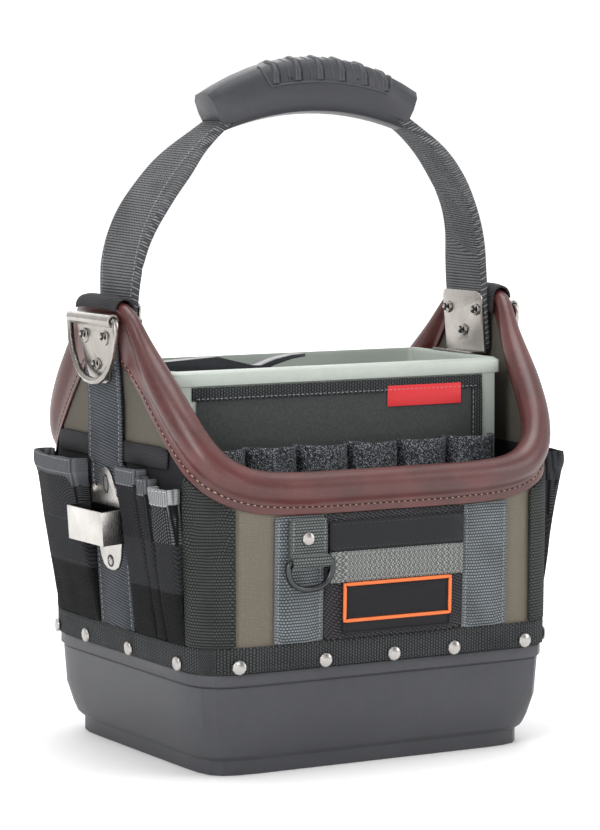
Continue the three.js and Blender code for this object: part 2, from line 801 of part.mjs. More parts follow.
function centreBox() {
  const foot = tubFloor + gap;
  const rimLowZ = boxTop - boxRimTall;
  const floorHalf = bagLength / 2 - footInset - tubWall - 2;
  const taper = boxHalfLength - floorHalf + boxFootClear;
  const rows = [
    [taper, foot], [taper, footTall * 1.4], [taper * 0.5, footTall * 3], [0, lipHeight + collarTall], [0, rimLowZ],
    [-boxRimProud, rimLowZ + 0.5], [-boxRimProud, boxTop - 2], [-boxRimProud + 2, boxTop],
    [boxWall - 0.5, boxTop], [boxWall, boxTop - 3], [boxWall, lipHeight + collarTall],
    [taper * 0.5 + boxWall, footTall * 3], [taper * 0.55 + boxWall, boxFloor],
  ];
  const shell = loft(rows.map(([inset, z], i) => {
    const inside = i > 6;
    const depthInset = inside ? boxWall : Math.min(inset, 0);
    const corner = inside ? boxCorner - boxWall : boxCorner;
    return roundedRing(boxHalfLength - inset, boxHalfDepth - depthInset, corner, z);
  }));
  const posts = [-1, 1].flatMap((sx) => [-1, 1].map((sy) => {
    const out = sy * (boxHalfDepth + postProud);
    const into = sy * (boxHalfDepth - boxWall / 2);
    const outerX = sx * (boxHalfLength - postInset);
    const innerX = outerX - sx * postWide;
    return box(
      [Math.min(outerX, innerX), Math.min(out, into), lipHeight + collarTall + 5],
      [Math.max(outerX, innerX), Math.max(out, into), rimLowZ + 2],
    );
  }));
  return joined([shell, ...posts]);
}

add('centre_box', centreBox(), 'greyPlastic');

// Felt panel and bare tag on the box's front
const panelEdge = boxHalfLength - postInset - postWide - gap;
const feltFace = -boxHalfDepth - gap - feltThick;
add('felt_panel', box(
  [-panelEdge, feltFace, feltLow],
  [panelEdge, -boxHalfDepth - gap, boxTop - boxRimTall - 1],
), 'felt');
const tagX = [0.29 * boxHalfLength, 0.756 * boxHalfLength];
const tagTop = boxTop - 1.5 * boxRimTall;
const tagTall = 15;
const tagThick = 0.8;
add('red_tag', box(
  [tagX[0], feltFace - gap - tagThick, tagTop - tagTall],
  [tagX[1], feltFace - gap, tagTop],
), 'tagRed');

// Tool loops: one webbing ribbon that returns to the felt between loops
function toolLoops() {
  const stepsPerLoop = 7;
  const thick = webThick;
  const start = -(loopCount * loopPitch) / 2 + 1;
  const path = spread(loopCount * stepsPerLoop).map((t) => {
    const u = t * loopCount;
    const turn = (u % 1) * 2 * Math.PI;
    const bow = Math.abs(Math.sin(Math.PI * u)) ** 0.65;
    return [
      start + loopPitch * (u - 0.085 * Math.sin(turn)),
      feltFace - gap - thick / 2 - (loopDepth - thick) * bow,
    ];
  });
  const rings = path.map((here, i) => {
    const before = path[Math.max(i - 1, 0)];
    const after = path[Math.min(i + 1, path.length - 1)];
    const along = new THREE.Vector2(after[0] - before[0], after[1] - before[1]).normalize();
    const side = new THREE.Vector2(-along.y, along.x).multiplyScalar(thick / 2);
    return [
      point(here[0] + side.x, here[1] + side.y, loopTop - loopTall),
      point(here[0] - side.x, here[1] - side.y, loopTop - loopTall),
      point(here[0] - side.x, here[1] - side.y, loopTop),
      point(here[0] + side.x, here[1] + side.y, loopTop),
    ];
  });
  return loft(rings);
}

add('tool_loops', toolLoops(), 'loopWeb');

// Black catch in the box: a bar from the left end with a dip and a thumb tongue.
// Rows of [share along the bar, underside, topside], both as shares of catchTall
const catchRows = [
  [0, 0, 0.83], [0.457, 0.06, 1], [0.676, 0.29, 0.6], [0.721, 0.29, 0.57],
  [0.812, 0.57, 0.8], [0.917, 0.78, 0.95], [1, 0.86, 0.99],
];

function boxCatch() {
  const left = -(boxHalfLength - boxWall - gap);
  const place = (along, up) => [mix(left, catchEnd, along), catchLow + up * catchTall];
  const top = catchRows.map(([along, , over]) => place(along, over));
  const under = catchRows.map(([along, beneath]) => place(along, beneath)).reverse();
  return uprightSheet(outlineShape([...top, ...under]), -catchHalfWide, catchHalfWide);
}

add('box_catch', boxCatch(), 'blackPlastic');

// Handle: a webbing strap rises from inside each end peak to the moulded grip. The soft handle
// leans to the front, twists a little, and sits higher at its right end.
// Rows along its outer face of [share out, share up from foot to grip, share of the lean,
// share of the twist]
const peakX = peakLength / 2 - clothThick / 2;
const loopOuter = peakRollRadius + loopSlack + loopThick;
const halfStrapAngle = angleAtY(halfStrap, rimHigh, 1);
const peakBow = peakLength / 2 - wallPoint(halfStrapAngle, rimHigh, 0).x;
const handleStrapOut = peakX - peakBow - loopOuter - gap;
const strapFootZ = boxTop + 1.3;
const strapTopZ = gripTop - strapTopDrop;
const strapBendZ = rimHigh - loopTail - gap;
const strapBend = (strapBendZ - strapFootZ) / (strapTopZ - strapFootZ);
const strapRows = [
  [1 + handleFlare / handleStrapOut, 0, 0, 0], [1, strapBend, 0, 0], [0.998, 0.3, 0, 0],
  [0.992, 0.4, 0.08, 0.3], [0.976, 0.503, 0.3, 0.7], [0.928, 0.609, 0.6, 1], [0.856, 0.712, 0.95, 1],
  [0.766, 0.814, 1.08, 1], [0.688, 0.886, 1.1, 0.8], [0.574, 0.961, 1.05, 0.4], [0.479, 1.016, 1, 0],
];

function handleStrap(side, extra = 0) {
  const topZ = strapTopZ + side * handleTilt;
  const last = strapRows.length - 1;
  const face = strapRows.map(([out, up, lean]) => (
    point(side * out * handleStrapOut, -lean * handleLean, mix(strapFootZ, topZ, up))
  ));
  return loft(strapRows.map(([, up, , twist], i) => {
    const along = face[Math.min(i + 1, last)].clone().sub(face[Math.max(i - 1, 0)]).normalize();
    const half = mix(halfStrap, gripHalfWidth - 4, eased(up, 0.8, 1)) + extra;
    const thick = mix(handleFootThick, handleStrapThick, eased(up, strapBend, 0.4));
    const across = point(0, 1, 0).applyAxisAngle(point(0, 0, 1), radians(-side * twist * handleTwist));
    const inward = along.clone().cross(across).normalize().multiplyScalar(side);
    return [[-extra, -1], [thick + extra, -1], [thick + extra, 1], [-extra, 1]].map(([into, a]) => (
      face[i].clone().addScaledVector(inward, into).addScaledVector(across, a * half)
    ));
  }));
}

function grip() {
  const sides = 12;
  const roundness = 0.75;
  const rounded = (value) => Math.sign(value) * Math.abs(value) ** roundness;
  const sections = spread(14).map((t) => {
    const s = 2 * t - 1;
    const topZ = gripTop - gripEndDrop * Math.abs(s) ** 2.1;
    const bottomZ = gripTop - gripTall - gripUnderDrop * s * s;
    const half = mix(gripHalfWidth, gripHalfWidth * 0.94, s * s);
    const middle = (topZ + bottomZ) / 2 + s * handleTilt;
    const tall = (topZ - bottomZ) / 2;
    return Array.from({ length: sides }, (_, k) => {
      const turn = (2 * Math.PI * k) / sides;
      const up = rounded(Math.sin(turn));
      const across = half * rounded(Math.cos(turn)) - handleLean;
      return point(s * (gripHalfLength + gripLean * up), across, middle + tall * up);
    });
  });
  return joined([loft(sections)], [handleStrap(-1, gap), handleStrap(1, gap)]);
}

add('handle_grip', grip(), 'charcoalPlastic');
add('handle_strap_left', handleStrap(-1), 'handleWeb');
add('handle_strap_right', handleStrap(1), 'handleWeb');

// Black loop over the roll of each end peak
function peakLoop() {
  const inner = peakRollRadius + loopSlack;
  const steps = 8;
  const end = radians(-10);
  const arc = (radius) => spread(steps).map((t) => {
    const turn = mix(end, Math.PI, t);
    return [radius * Math.cos(turn), radius * Math.sin(turn)];
  });
  const section = [
    ...arc(loopOuter), [-loopOuter, -loopTail], [-inner, -loopTail], ...arc(inner).reverse(),
  ];
  return loft(spread(6).map((t) => {
    const angle = angleAtY(mix(-loopHalf, loopHalf, t), rimHigh, -1);
    const middle = wallPoint(angle, rimHigh, -clothThick / 2);
    return section.map(([x, z]) => point(middle.x - x, middle.y, rimHeight(angle) + z));
  }));
}

addPair('peak_loop', peakLoop(), 'blackWeb');

// Fittings outside each end: a rolled tube and plate that carry a D ring.
// Rows of [share of the plate's half width, share of its height down]
const tubeZ = rimHigh - tubeDrop;
const tubeX = -(peakX + peakRollRadius + tubeOut);
const ringPlateRows = [[1, 0], [0.61, 0.81], [0.54, 0.92], [0.32, 0.985], [0, 1]];
const ringPlateRivets = [[0.57, 0.24], [-0.57, 0.24], [0, 0.67]];

function bothSides(rows) {
  return [...rows, ...rows.slice(0, -1).reverse().map(([across, up]) => [-across, up])];
}

function ringPlate() {
  const tube = new THREE.ExtrudeGeometry(ringShape(0, 0, tubeRadius, wireRadius + 0.6), {
    depth: 2 * tubeHalf, bevelEnabled: false, curveSegments: 6,
  });
  tube.rotateX(Math.PI / 2);
  tube.translate(tubeX, tubeHalf, tubeZ);
  const place = ([across, down]) => [across * ringPlateHalf, -down * ringPlateTall];
  const sheet = uprightSheet(outlineShape(bothSides(ringPlateRows).map(place)), 0, sheetThick);
  const rivets = ringPlateRivets.map(place).map(([across, up]) => {
    const head = rivetHead(plateRivetRadius, plateRivetTall, 8);
    head.translate(across, gap, up);
    return head;
  });
  const lean = Math.atan2(plateLean, ringPlateTall);
  const plate = [sheet, ...rivets];
  plate.forEach((piece) => {
    piece.rotateZ(-Math.PI / 2);
    piece.rotateY(-lean);
    piece.translate(tubeX + tubeRadius / 4, 0, tubeZ - 0.75 * tubeRadius);
  });
  return joined([tube, ...plate]);
}

addPair('ring_plate', ringPlate(), 'nickel');

function endRing() {
  const ring = wireLoop(dPath(tubeHalf + ringOverhang, endRingDrop, 2.6, 0.9), wireRadius, 6);
  ring.rotateZ(Math.PI / 2);
  ring.translate(tubeX, 0, tubeZ);
  return ring;
}

addPair('end_ring', endRing(), 'nickel');

// Plates inside each end, over the foot of the handle strap, with a foot on the box's rim
const innerPlateX = -(handleStrapOut + handleFlare - handleFootThick - gap);
const innerPlateLean = Math.atan2(handleFlare, strapBendZ - strapFootZ);
const innerPlateRivets = [[0.73, 0.7], [-0.73, 0.7], [0, 0.35]];

function innerPlate() {
  const low = boxTop + gap;
  const shape = new THREE.Shape();
  shape.moveTo(-plateHalfWide, 0);
  shape.lineTo(plateHalfWide, 0);
  shape.lineTo(plateHalfWide, plateTall - plateCorner);
  shape.absarc(plateHalfWide - plateCorner, plateTall - plateCorner, plateCorner, 0, Math.PI / 2);
  shape.absarc(plateCorner - plateHalfWide, plateTall - plateCorner, plateCorner, Math.PI / 2, Math.PI);
  shape.closePath();
  const sheet = uprightSheet(shape, -sheetThick, 0, 4);
  const foot = box([-plateHalfWide, -plateFoot, 0], [plateHalfWide, 0, sheetThick]);
  const rivets = innerPlateRivets.map(([across, up]) => {
    const head = rivetHead(plateRivetRadius, plateRivetTall, 8);
    head.translate(across * plateHalfWide, gap - sheetThick, up * plateTall);
    return head;
  });
  [sheet, ...rivets].forEach((piece) => piece.rotateX(innerPlateLean));
  const plate = joined([sheet, foot, ...rivets]);
  plate.rotateZ(Math.PI / 2);
  plate.translate(innerPlateX, 0, low);
  return plate;
}

addPair('inner_plate', innerPlate(), 'nickel');

// Tape clip: a bell shaped tab behind a box loop, with a round shouldered top.
// Rows of [share of clipHalf across, share of clipTall up]
const clipTopRows = [
  [0.7, -0.5], [0.89, 0.5], [0.89, 0.92], [0.63, 0.98], [0.45, 1.13], [0.33, 1.4], [0.19, 1.57], [0, 1.64],
];
const clipFootRows = [[0.7, -0.5], [0.56, -1.04], [0.42, -1.29], [0.2, -1.4], [0, -1.42]];

function tapeClip() {
  const top = bothSides(clipTopRows);
  const foot = bothSides(clipFootRows).slice(1, -1).reverse();
  const outline = [...top, ...foot].map(([across, up]) => [across * clipHalf, up * clipTall]);
  const sheet = uprightSheet(outlineShape(outline), -sheetThick, 0);
  const loop = box([-clipHalf, -clipStandOff, -clipTall / 2], [clipHalf, 0, clipTall / 2]);
  const hole = box(
    [-clipHalf + sheetThick, -clipStandOff + sheetThick, -clipTall],
    [clipHalf - sheetThick, -sheetThick, clipTall],
  );
  return joined([sheet, geometryFrom(bodyOf(loop).subtract(bodyOf(hole)))]);
}

add('tape_clip', tapeClip(), 'nickel', wallFrame(radians(-90), clipZ, webFace + layerGap));

export default tote;
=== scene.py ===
from math import copysign, cos, pi, radians, sin

import bmesh
import bpy
import numpy as np
from mathutils import Matrix, Vector, noise
from mathutils.bvhtree import BVHTree


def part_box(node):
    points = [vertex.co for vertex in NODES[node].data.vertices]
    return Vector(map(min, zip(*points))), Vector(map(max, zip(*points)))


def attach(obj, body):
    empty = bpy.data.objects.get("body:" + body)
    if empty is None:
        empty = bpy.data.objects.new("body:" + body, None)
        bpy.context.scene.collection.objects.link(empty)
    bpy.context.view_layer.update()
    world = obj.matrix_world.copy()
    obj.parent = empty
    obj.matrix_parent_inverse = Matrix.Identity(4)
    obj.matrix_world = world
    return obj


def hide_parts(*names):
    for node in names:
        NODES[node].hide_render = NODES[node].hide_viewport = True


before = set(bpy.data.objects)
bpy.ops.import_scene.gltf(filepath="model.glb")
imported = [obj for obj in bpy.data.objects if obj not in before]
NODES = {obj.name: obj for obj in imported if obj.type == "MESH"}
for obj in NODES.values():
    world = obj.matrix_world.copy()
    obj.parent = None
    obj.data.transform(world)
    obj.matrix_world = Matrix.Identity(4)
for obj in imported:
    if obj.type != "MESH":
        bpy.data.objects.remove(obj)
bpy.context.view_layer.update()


# ---------------------------- camera, lights, floor

AIM = Vector((0.0, 0.0, 0.23425))
CAMERA_AZIMUTH = radians(-29.73)
CAMERA_RISE = radians(5.48)
CAMERA_AWAY = 2.3871
CAMERA_LENS = 143.1
WORLD_BRIGHT_WAY = (0.43, 0.75, 0.5)
FLOOR_SIZE = 12
FLOOR_DROP = 0.0002


def new_object(name, data):
    obj = bpy.data.objects.new(name, data)
    bpy.context.scene.collection.objects.link(obj)
    return obj


def set_camera():
    data = bpy.data.cameras.new("camera")
    data.lens = CAMERA_LENS
    data.sensor_width = 36
    data.clip_start, data.clip_end = 0.05, 50
    data.shift_x = 0.0025
    camera = new_object("camera", data)
    back = Vector((
        sin(CAMERA_AZIMUTH) * cos(CAMERA_RISE),
        -cos(CAMERA_AZIMUTH) * cos(CAMERA_RISE),
        sin(CAMERA_RISE),
    ))
    camera.location = AIM + back * CAMERA_AWAY
    camera.rotation_mode = "QUATERNION"
    camera.rotation_quaternion = (-back).to_track_quat("-Z", "Y")
    bpy.context.scene.camera = camera


def soft_light(name, place, size, power):
    data = bpy.data.lights.new(name, "AREA")
    data.shape = "RECTANGLE"
    data.size, data.size_y = size
    data.energy = power
    light = new_object(name, data)
    light.location = place
    light.rotation_mode = "QUATERNION"
    light.rotation_quaternion = (AIM - Vector(place)).to_track_quat("-Z", "Y")


def set_lights():
    """Five soft boxes, and a white world that is brighter behind and above on the right."""
    bpy.context.scene.view_settings.view_transform = "Standard"
    soft_light("left_box", (-2.3, -1.3, 1.5), (1.0, 2.0), 46)
    soft_light("right_box", (2.0, -1.9, 1.2), (0.8, 1.8), 20)
    soft_light("top_box", (0.1, -0.1, 2.4), (1.5, 1.5), 30)
    soft_light("front_fill", (-0.6, -3.2, 0.9), (1.2, 1.0), 12)
    soft_light("back_box", (0.6, 2.4, 1.6), (1.8, 1.4), 18)
    world = bpy.data.worlds.new("studio")
    bpy.context.scene.world = world
    world.use_nodes = True
    w = Wires(world.node_tree)
    facing = w.add("ShaderNodeVectorMath", operation="DOT_PRODUCT")
    w.put(w.add("ShaderNodeTexCoord").outputs["Generated"], facing.inputs[0])
    w.put(WORLD_BRIGHT_WAY, facing.inputs[1])
    spread = w.add("ShaderNodeMapRange")
    w.put(facing.outputs["Value"], spread.inputs["Value"])
    for label, value in (("From Min", -0.15), ("From Max", 0.5), ("To Min", 0.34), ("To Max", 1.06)):
        w.put(value, spread.inputs[label])
    background = world.node_tree.nodes["Background"]
    w.put((1, 1, 1, 1), background.inputs["Color"])
    w.put(spread.outputs["Result"], background.inputs["Strength"])


def leave_edit():
    if bpy.context.mode != "OBJECT":
        bpy.ops.object.mode_set(mode="OBJECT")


def deselect():
    leave_edit()
    bpy.ops.object.select_all(action="DESELECT")


def set_floor():
    """White paper that glows a little more the further off it lies, so that no horizon shows."""
    deselect()
    bpy.ops.mesh.primitive_plane_add(size=FLOOR_SIZE, location=(0, 0, -FLOOR_DROP))
    floor = bpy.context.object
    floor.name = "studio_floor"
    material = bpy.data.materials.new("floor_paper")
    material.use_nodes = True
    shader = material.node_tree.nodes["Principled BSDF"]
    w = Wires(material.node_tree)
    far = w.add("ShaderNodeVectorMath", operation="LENGTH")
    w.put(w.add("ShaderNodeTexCoord").outputs["Object"], far.inputs[0])
    glow = w.math("MULTIPLY", w.step(far.outputs["Value"], 0.35, 1.6), 0.6)
    w.put((0.93, 0.93, 0.93, 1), shader.inputs["Base Color"])
    w.put(0.85, shader.inputs["Roughness"])
    w.put((1, 1, 1, 1), shader.inputs["Emission Color"])
    w.put(glow, shader.inputs["Emission Strength"])
    floor.data.materials.append(material)


# ---------------------------- shader groups


class Wires:
    """Adds nodes to one tree and joins them."""

    def __init__(self, tree):
        self.tree = tree

    def add(self, kind, **settings):
        node = self.tree.nodes.new(kind)
        for name, value in settings.items():
            setattr(node, name, value)
        return node

    def put(self, value, socket):
        """Joins or sets a socket. None leaves it alone."""
        if isinstance(value, bpy.types.NodeSocket):
            self.tree.links.new(value, socket)
        elif value is not None:
            socket.default_value = value

    def math(self, operation, a, b=None, c=None):
        node = self.add("ShaderNodeMath", operation=operation)
        for i, value in enumerate((a, b, c)):
            self.put(value, node.inputs[i])
        return node.outputs[0]

    def times(self, a, b):
        return self.math("MULTIPLY", a, b)

    def size(self, value):
        return self.math("ABSOLUTE", value)

    def ridge(self, turns):
        """A row of round ridges, one for each whole turn."""
        return self.size(self.math("SINE", self.times(turns, pi)))

    def mix(self, share, low, high):
        """low where share is 0 and high where it is 1."""
        node = self.add("ShaderNodeMix", data_type="RGBA")
        self.put(share, node.inputs["Factor"])
        for value, socket in ((low, node.inputs[6]), (high, node.inputs[7])):
            if isinstance(value, tuple) and len(value) == 3:
                value = (*value, 1)
            self.put(value, socket)
        return node.outputs[2]

    def step(self, value, low, high):
        """0 below low, 1 above high, and eased between."""
        node = self.add("ShaderNodeMapRange", interpolation_type="SMOOTHSTEP")
        self.put(value, node.inputs["Value"])
        self.put(low, node.inputs["From Min"])
        self.put(high, node.inputs["From Max"])
        return node.outputs["Result"]

    def split(self, vector):
        node = self.add("ShaderNodeSeparateXYZ")
        self.put(vector, node.inputs[0])
        return node.outputs


def group(name, values, outputs):
    """A new shader group with a Vector and number inputs, and the Wires, inputs and outputs inside it."""
    made = bpy.data.node_groups.new(name, "ShaderNodeTree")
    made.interface.new_socket("Vector", in_out="INPUT", socket_type="NodeSocketVector")
    for label, value in values.items():
        socket = made.interface.new_socket(label, in_out="INPUT", socket_type="NodeSocketFloat")
        socket.default_value = value
    for label in outputs:
        made.interface.new_socket(label, in_out="OUTPUT", socket_type="NodeSocketFloat")
    wires = Wires(made)
    start = wires.add("NodeGroupInput").outputs
    end = wires.add("NodeGroupOutput").inputs
    return made, wires, start, end


def plain_weave():
    """Over and under threads of one pitch. Height 0 to 1, and a mask of the gaps between threads, where
    painted shade goes.
    """
    made, w, start, end = group("plain_weave", {"Pitch": 0.001}, ("Height", "GapShade"))
    x, y, _ = w.split(start["Vector"])
    u = w.math("DIVIDE", x, start["Pitch"])
    v = w.math("DIVIDE", y, start["Pitch"])
    odd = w.size(w.math("MODULO", w.math("ADD", w.math("FLOOR", u), w.math("FLOOR", v)), 2))
    ridge_u = w.ridge(u)
    ridge_v = w.ridge(v)
    over = w.times(ridge_u, w.math("POWER", ridge_v, 0.4))
    under = w.times(ridge_v, w.math("POWER", ridge_u, 0.4))
    height = w.math("ADD", w.times(over, odd),
                    w.times(under, w.math("SUBTRACT", 1, odd)))
    w.put(height, end["Height"])
    w.put(w.math("SUBTRACT", 1, w.step(height, 0.1, 0.75)), end["GapShade"])
    return made


def webbing_ribs():
    """Ribs with threads twisted across them. Along is 0 for upright ribs, 1 for level ones.

    Seed is a mask of the thread tops, which shift by half a thread from rib to rib; a painted highlight
    goes there. GapShade masks the gaps between ribs, where painted shade goes.
    """
    inputs = {"Pitch": 0.002, "Along": 0.0, "Lean": 0.0}
    made, w, start, end = group("webbing_ribs", inputs, ("Height", "GapShade", "Seed"))
    x, y, _ = w.split(start["Vector"])
    swap = start["Along"]
    keep = w.math("SUBTRACT", 1, swap)
    across = w.math("ADD", w.times(x, keep), w.times(y, swap))
    along = w.math("ADD", w.times(y, keep), w.times(x, swap))
    across = w.math("MULTIPLY_ADD", along, start["Lean"], across)
    u = w.math("DIVIDE", across, start["Pitch"])
    rib = w.ridge(u)
    row = w.math("FLOOR", u)
    shift = w.times(w.size(w.math("MODULO", row, 2)), 0.5)
    v = w.math("DIVIDE", along, w.times(start["Pitch"], 1.05))
    v = w.math("ADD", v, w.math("ADD", shift, w.times(rib, 0.35)))
    twist = w.ridge(v)
    height = w.times(w.math("POWER", rib, 0.6), w.math("MULTIPLY_ADD", twist, 0.35, 0.65))
    w.put(height, end["Height"])
    w.put(w.math("SUBTRACT", 1, w.step(height, 0.12, 0.7)), end["GapShade"])
    w.put(w.step(w.times(rib, twist), 0.3, 0.8), end["Seed"])
    return made


def cloud():
    """Slow drift of shade over a surface, and fine speckle."""
    made, w, start, end = group("cloud", {"Size": 0.03, "Speck": 0.0007}, ("Slow", "Fine"))
    for name, size, detail in (("Slow", "Size", 3.0), ("Fine", "Speck", 2.0)):
        node = w.add("ShaderNodeTexNoise")
        w.put(start["Vector"], node.inputs["Vector"])
        w.put(w.math("DIVIDE", 1, start[size]), node.inputs["Scale"])
        w.put(detail, node.inputs["Detail"])
        w.put(node.outputs["Fac"], end[name])
    return made


def worn_edge():
    """Mask of the outer edges, broken up as rubbing leaves it."""
    made, w, start, end = group("worn_edge", {"Start": 0.52, "Full": 0.6}, ("Mask",))
    point = w.add("ShaderNodeNewGeometry").outputs["Pointiness"]
    node = w.add("ShaderNodeTexNoise")
    w.put(start["Vector"], node.inputs["Vector"])
    w.put(180, node.inputs["Scale"])
    rough = w.math("MULTIPLY_ADD", node.outputs["Fac"], 0.05, w.math("SUBTRACT", point, 0.025))
    w.put(w.step(rough, start["Start"], start["Full"]), end["Mask"])
    return made


GROUPS = {"weave": plain_weave(), "ribs": webbing_ribs(), "cloud": cloud(), "edge": worn_edge()}


def tinted(colour, factor, lift=0.0):
    """A colour made darker or lighter by a factor, and lifted."""
    return tuple(min(1, c * factor + lift) for c in colour)


class Finish(Wires):
    """One material being built: its wires, its shader, and the surface's own coordinates."""

    def __init__(self, name, colour, roughness, metallic=0.0):
        self.material = bpy.data.materials.new(name)
        self.material.use_nodes = True
        super().__init__(self.material.node_tree)
        self.shader = self.material.node_tree.nodes["Principled BSDF"]
        self.set("Base Color", colour)
        self.set("Roughness", roughness)
        self.set("Metallic", metallic)
        self.place = self.add("ShaderNodeTexCoord").outputs["Object"]
        self.wrap = self.add("ShaderNodeAttribute", attribute_name="wrap").outputs["Vector"]

    def group(self, name, vector=None, **values):
        node = self.add("ShaderNodeGroup", node_tree=GROUPS[name])
        self.put(self.wrap if vector is None else vector, node.inputs["Vector"])
        for label, value in values.items():
            self.put(value, node.inputs[label.capitalize()])
        return node.outputs

    def cloud(self, size, speck):
        """Slow drift and fine speckle over the piece's own place."""
        return self.group("cloud", vector=self.place, size=size, speck=speck)

    def over(self, base, mask, share, tone):
        """base with a share of tone laid over it where the mask is."""
        return self.mix(self.times(mask, share), base, tone)

    def bump(self, height, distance, strength=1.0, normal=None):
        node = self.add("ShaderNodeBump")
        self.put(strength, node.inputs["Strength"])
        self.put(distance, node.inputs["Distance"])
        self.put(height, node.inputs["Height"])
        self.put(normal, node.inputs["Normal"])
        return node.outputs["Normal"]

    def set(self, name, value):
        if isinstance(value, tuple) and len(value) == 3:
            value = (*value, 1)
        self.put(value, self.shader.inputs[name])

    def done(self, base, normal):
        self.set("Base Color", base)
        self.set("Normal", normal)
        return self.material


def sheen(finish, weight, tint, gloss=0.22):
    """The soft shine of cloth fibres."""
    finish.set("Specular IOR Level", gloss)
    finish.set("Sheen Weight", weight)
    finish.set("Sheen Tint", tint)
    finish.set("Sheen Roughness", 0.5)


def canvas(name, colour, pitch, depth, end_tone, below):
    """Plain woven canvas, greyer on the ends, with painted shade in the gaps between threads. below is a
    near black painted on the ends under the collar bands, as the shade behind and between the pockets.
    """
    end_from, pocket_half, collar_foot, collar_step = 0.139, 0.08, 0.2125, 0.0145
    soften = 0.0005
    f = Finish(name, colour, 0.86)
    weave = f.group("weave", pitch=pitch)
    drift = f.cloud(0.05, 0.0016)
    base = f.mix(f.step(drift["Slow"], 0.35, 0.7), tinted(colour, 0.88), colour)
    base = f.over(base, f.step(drift["Fine"], 0.5, 0.75), 0.5, tinted(colour, 1.25))
    # the gaps between threads are painted darker, as shade
    base = f.over(base, weave["GapShade"], 0.5, tinted(colour, 0.42))
    x, y, z = f.split(f.place)
    at_end = f.step(f.size(x), end_from, end_from + soften)
    base = f.over(base, at_end, 0.6, end_tone)
    wide = f.step(f.size(y), pocket_half, pocket_half + soften)
    limit = f.math("MULTIPLY_ADD", wide, collar_step, collar_foot)
    # the end cloth under the collar bands is painted near black, as the shade behind and between the
    # pockets
    base = f.over(base, at_end, f.math("LESS_THAN", z, limit), below)
    sheen(f, 0.02, colour)
    return f.done(base, f.bump(weave["Height"], depth, 0.9))


def webbing(name, colour, pitch, along=0.0, lean=0.0, selvedge=None, edge=0.86, depth=0.0005):
    """Woven strap, its thread tops painted lighter as highlight and the gaps between ribs darker as shade.
    selvedge is the colour of the sewn edges, from a share across of edge outwards.
    """
    f = Finish(name, colour, 0.8)
    ribs = f.group("ribs", pitch=pitch, along=along, lean=lean)
    drift = f.cloud(0.03, 0.0008)
    dark, light = tinted(colour, 0.16), tinted(colour, 2.4, 0.008)
    # thread tops painted lighter, as a highlight
    base = f.mix(ribs["Seed"], tinted(colour, 0.7), light)
    base = f.over(base, f.step(drift["Fine"], 0.42, 0.72), 0.35, light)
    base = f.over(base, f.step(drift["Slow"], 0.4, 0.75), 0.3, dark)
    if selvedge:
        across = f.split(f.wrap)[2]
        rim = f.step(f.size(across), edge - 0.03, edge + 0.03)
        base = f.over(base, rim, 0.6, selvedge)
    # gaps between ribs painted dark, as shade
    base = f.over(base, ribs["GapShade"], 0.9, dark)
    sheen(f, 0.03, light)
    return f.done(base, f.bump(ribs["Height"], depth))


def pocket_cloth(name, top, binding, elastic, seam, rib_tone, bound_tone):
    """Pocket face: binding, ribbed elastic, leaning weave and a smooth foot, parted at given heights. In
    each zone the thread tops are painted lighter as highlight and the hollows darker as shade.
    """
    black = (0.007, 0.0072, 0.008)
    f = Finish(name, black, 0.82)
    height = f.split(f.wrap)[1]
    plain = f.group("weave", pitch=0.0014)
    ribs = f.group("ribs", pitch=0.0022)
    twill = f.group("ribs", pitch=0.0025, lean=0.75)
    band = f.group("ribs", pitch=0.0019)
    drift = f.cloud(0.02, 0.0009)
    tone = f.mix(f.step(drift["Fine"], 0.45, 0.75), black, (0.018, 0.018, 0.02))
    relief = plain["Height"]
    # each zone's tone runs from painted shade in the hollows (low) to a painted highlight on the thread
    # tops (high)
    zones = (
        (seam, twill, "Height", 0.8, (0.004, 0.004, 0.005), (0.036, 0.037, 0.041)),
        (elastic, ribs, "Seed", 1.0, (0.006, 0.006, 0.007), rib_tone),
        (top - binding, band, "Height", 0.9, tinted(bound_tone, 0.3), tinted(bound_tone, 1.6)),
    )
    for foot, cloth, mask, share, low, high in zones:
        within = f.step(height, foot - 0.0004, foot + 0.0004)
        tone = f.mix(within, tone, f.mix(f.times(cloth[mask], share), low, high))
        relief = f.mix(within, relief, cloth["Height"])
    sheen(f, 0.01, (0.3, 0.3, 0.33), 0.12)
    return f.done(tone, f.bump(relief, 0.0008))


def salt_and_pepper(name, pitch):
    """Webbing of mixed black and pale threads, leaning, with the gaps between ribs painted dark as shade.
    """
    f = Finish(name, (0.05, 0.055, 0.06), 0.8)
    ribs = f.group("ribs", pitch=pitch, lean=0.6)
    fleck = f.cloud(0.0022, 0.001)
    base = f.mix(f.step(fleck["Fine"], 0.5, 0.6), (0.03, 0.033, 0.038), (0.26, 0.28, 0.3))
    base = f.mix(f.step(fleck["Slow"], 0.56, 0.66), base, (0.012, 0.012, 0.014))
    # gaps between ribs painted near black, as shade
    base = f.over(base, ribs["GapShade"], 0.8, (0.01, 0.01, 0.012))
    sheen(f, 0.03, (0.4, 0.42, 0.45))
    return f.done(base, f.bump(ribs["Height"], 0.0006))


def herringbone(name, colour, pitch):
    """Rows of seed shaped threads that lean one way and then the other, their tops painted lighter as
    highlight and the gaps darker as shade.
    """
    f = Finish(name, colour, 0.8)
    x, y, _ = f.split(f.wrap)
    lay = f.add("ShaderNodeCombineXYZ")
    f.put(x, lay.inputs[0])
    f.put(f.math("PINGPONG", y, pitch), lay.inputs[1])
    ribs = f.group("ribs", vector=lay.outputs[0], pitch=pitch * 0.85, lean=0.8)
    drift = f.cloud(0.02, 0.0008)
    light = tinted(colour, 2.3)
    # thread tops painted lighter, as a highlight
    base = f.mix(ribs["Seed"], tinted(colour, 0.8), light)
    base = f.over(base, f.step(drift["Fine"], 0.4, 0.7), 0.3, light)
    # gaps between threads painted dark, as shade
    base = f.over(base, ribs["GapShade"], 0.9, tinted(colour, 0.3))
    return f.done(base, f.bump(ribs["Height"], 0.0004))


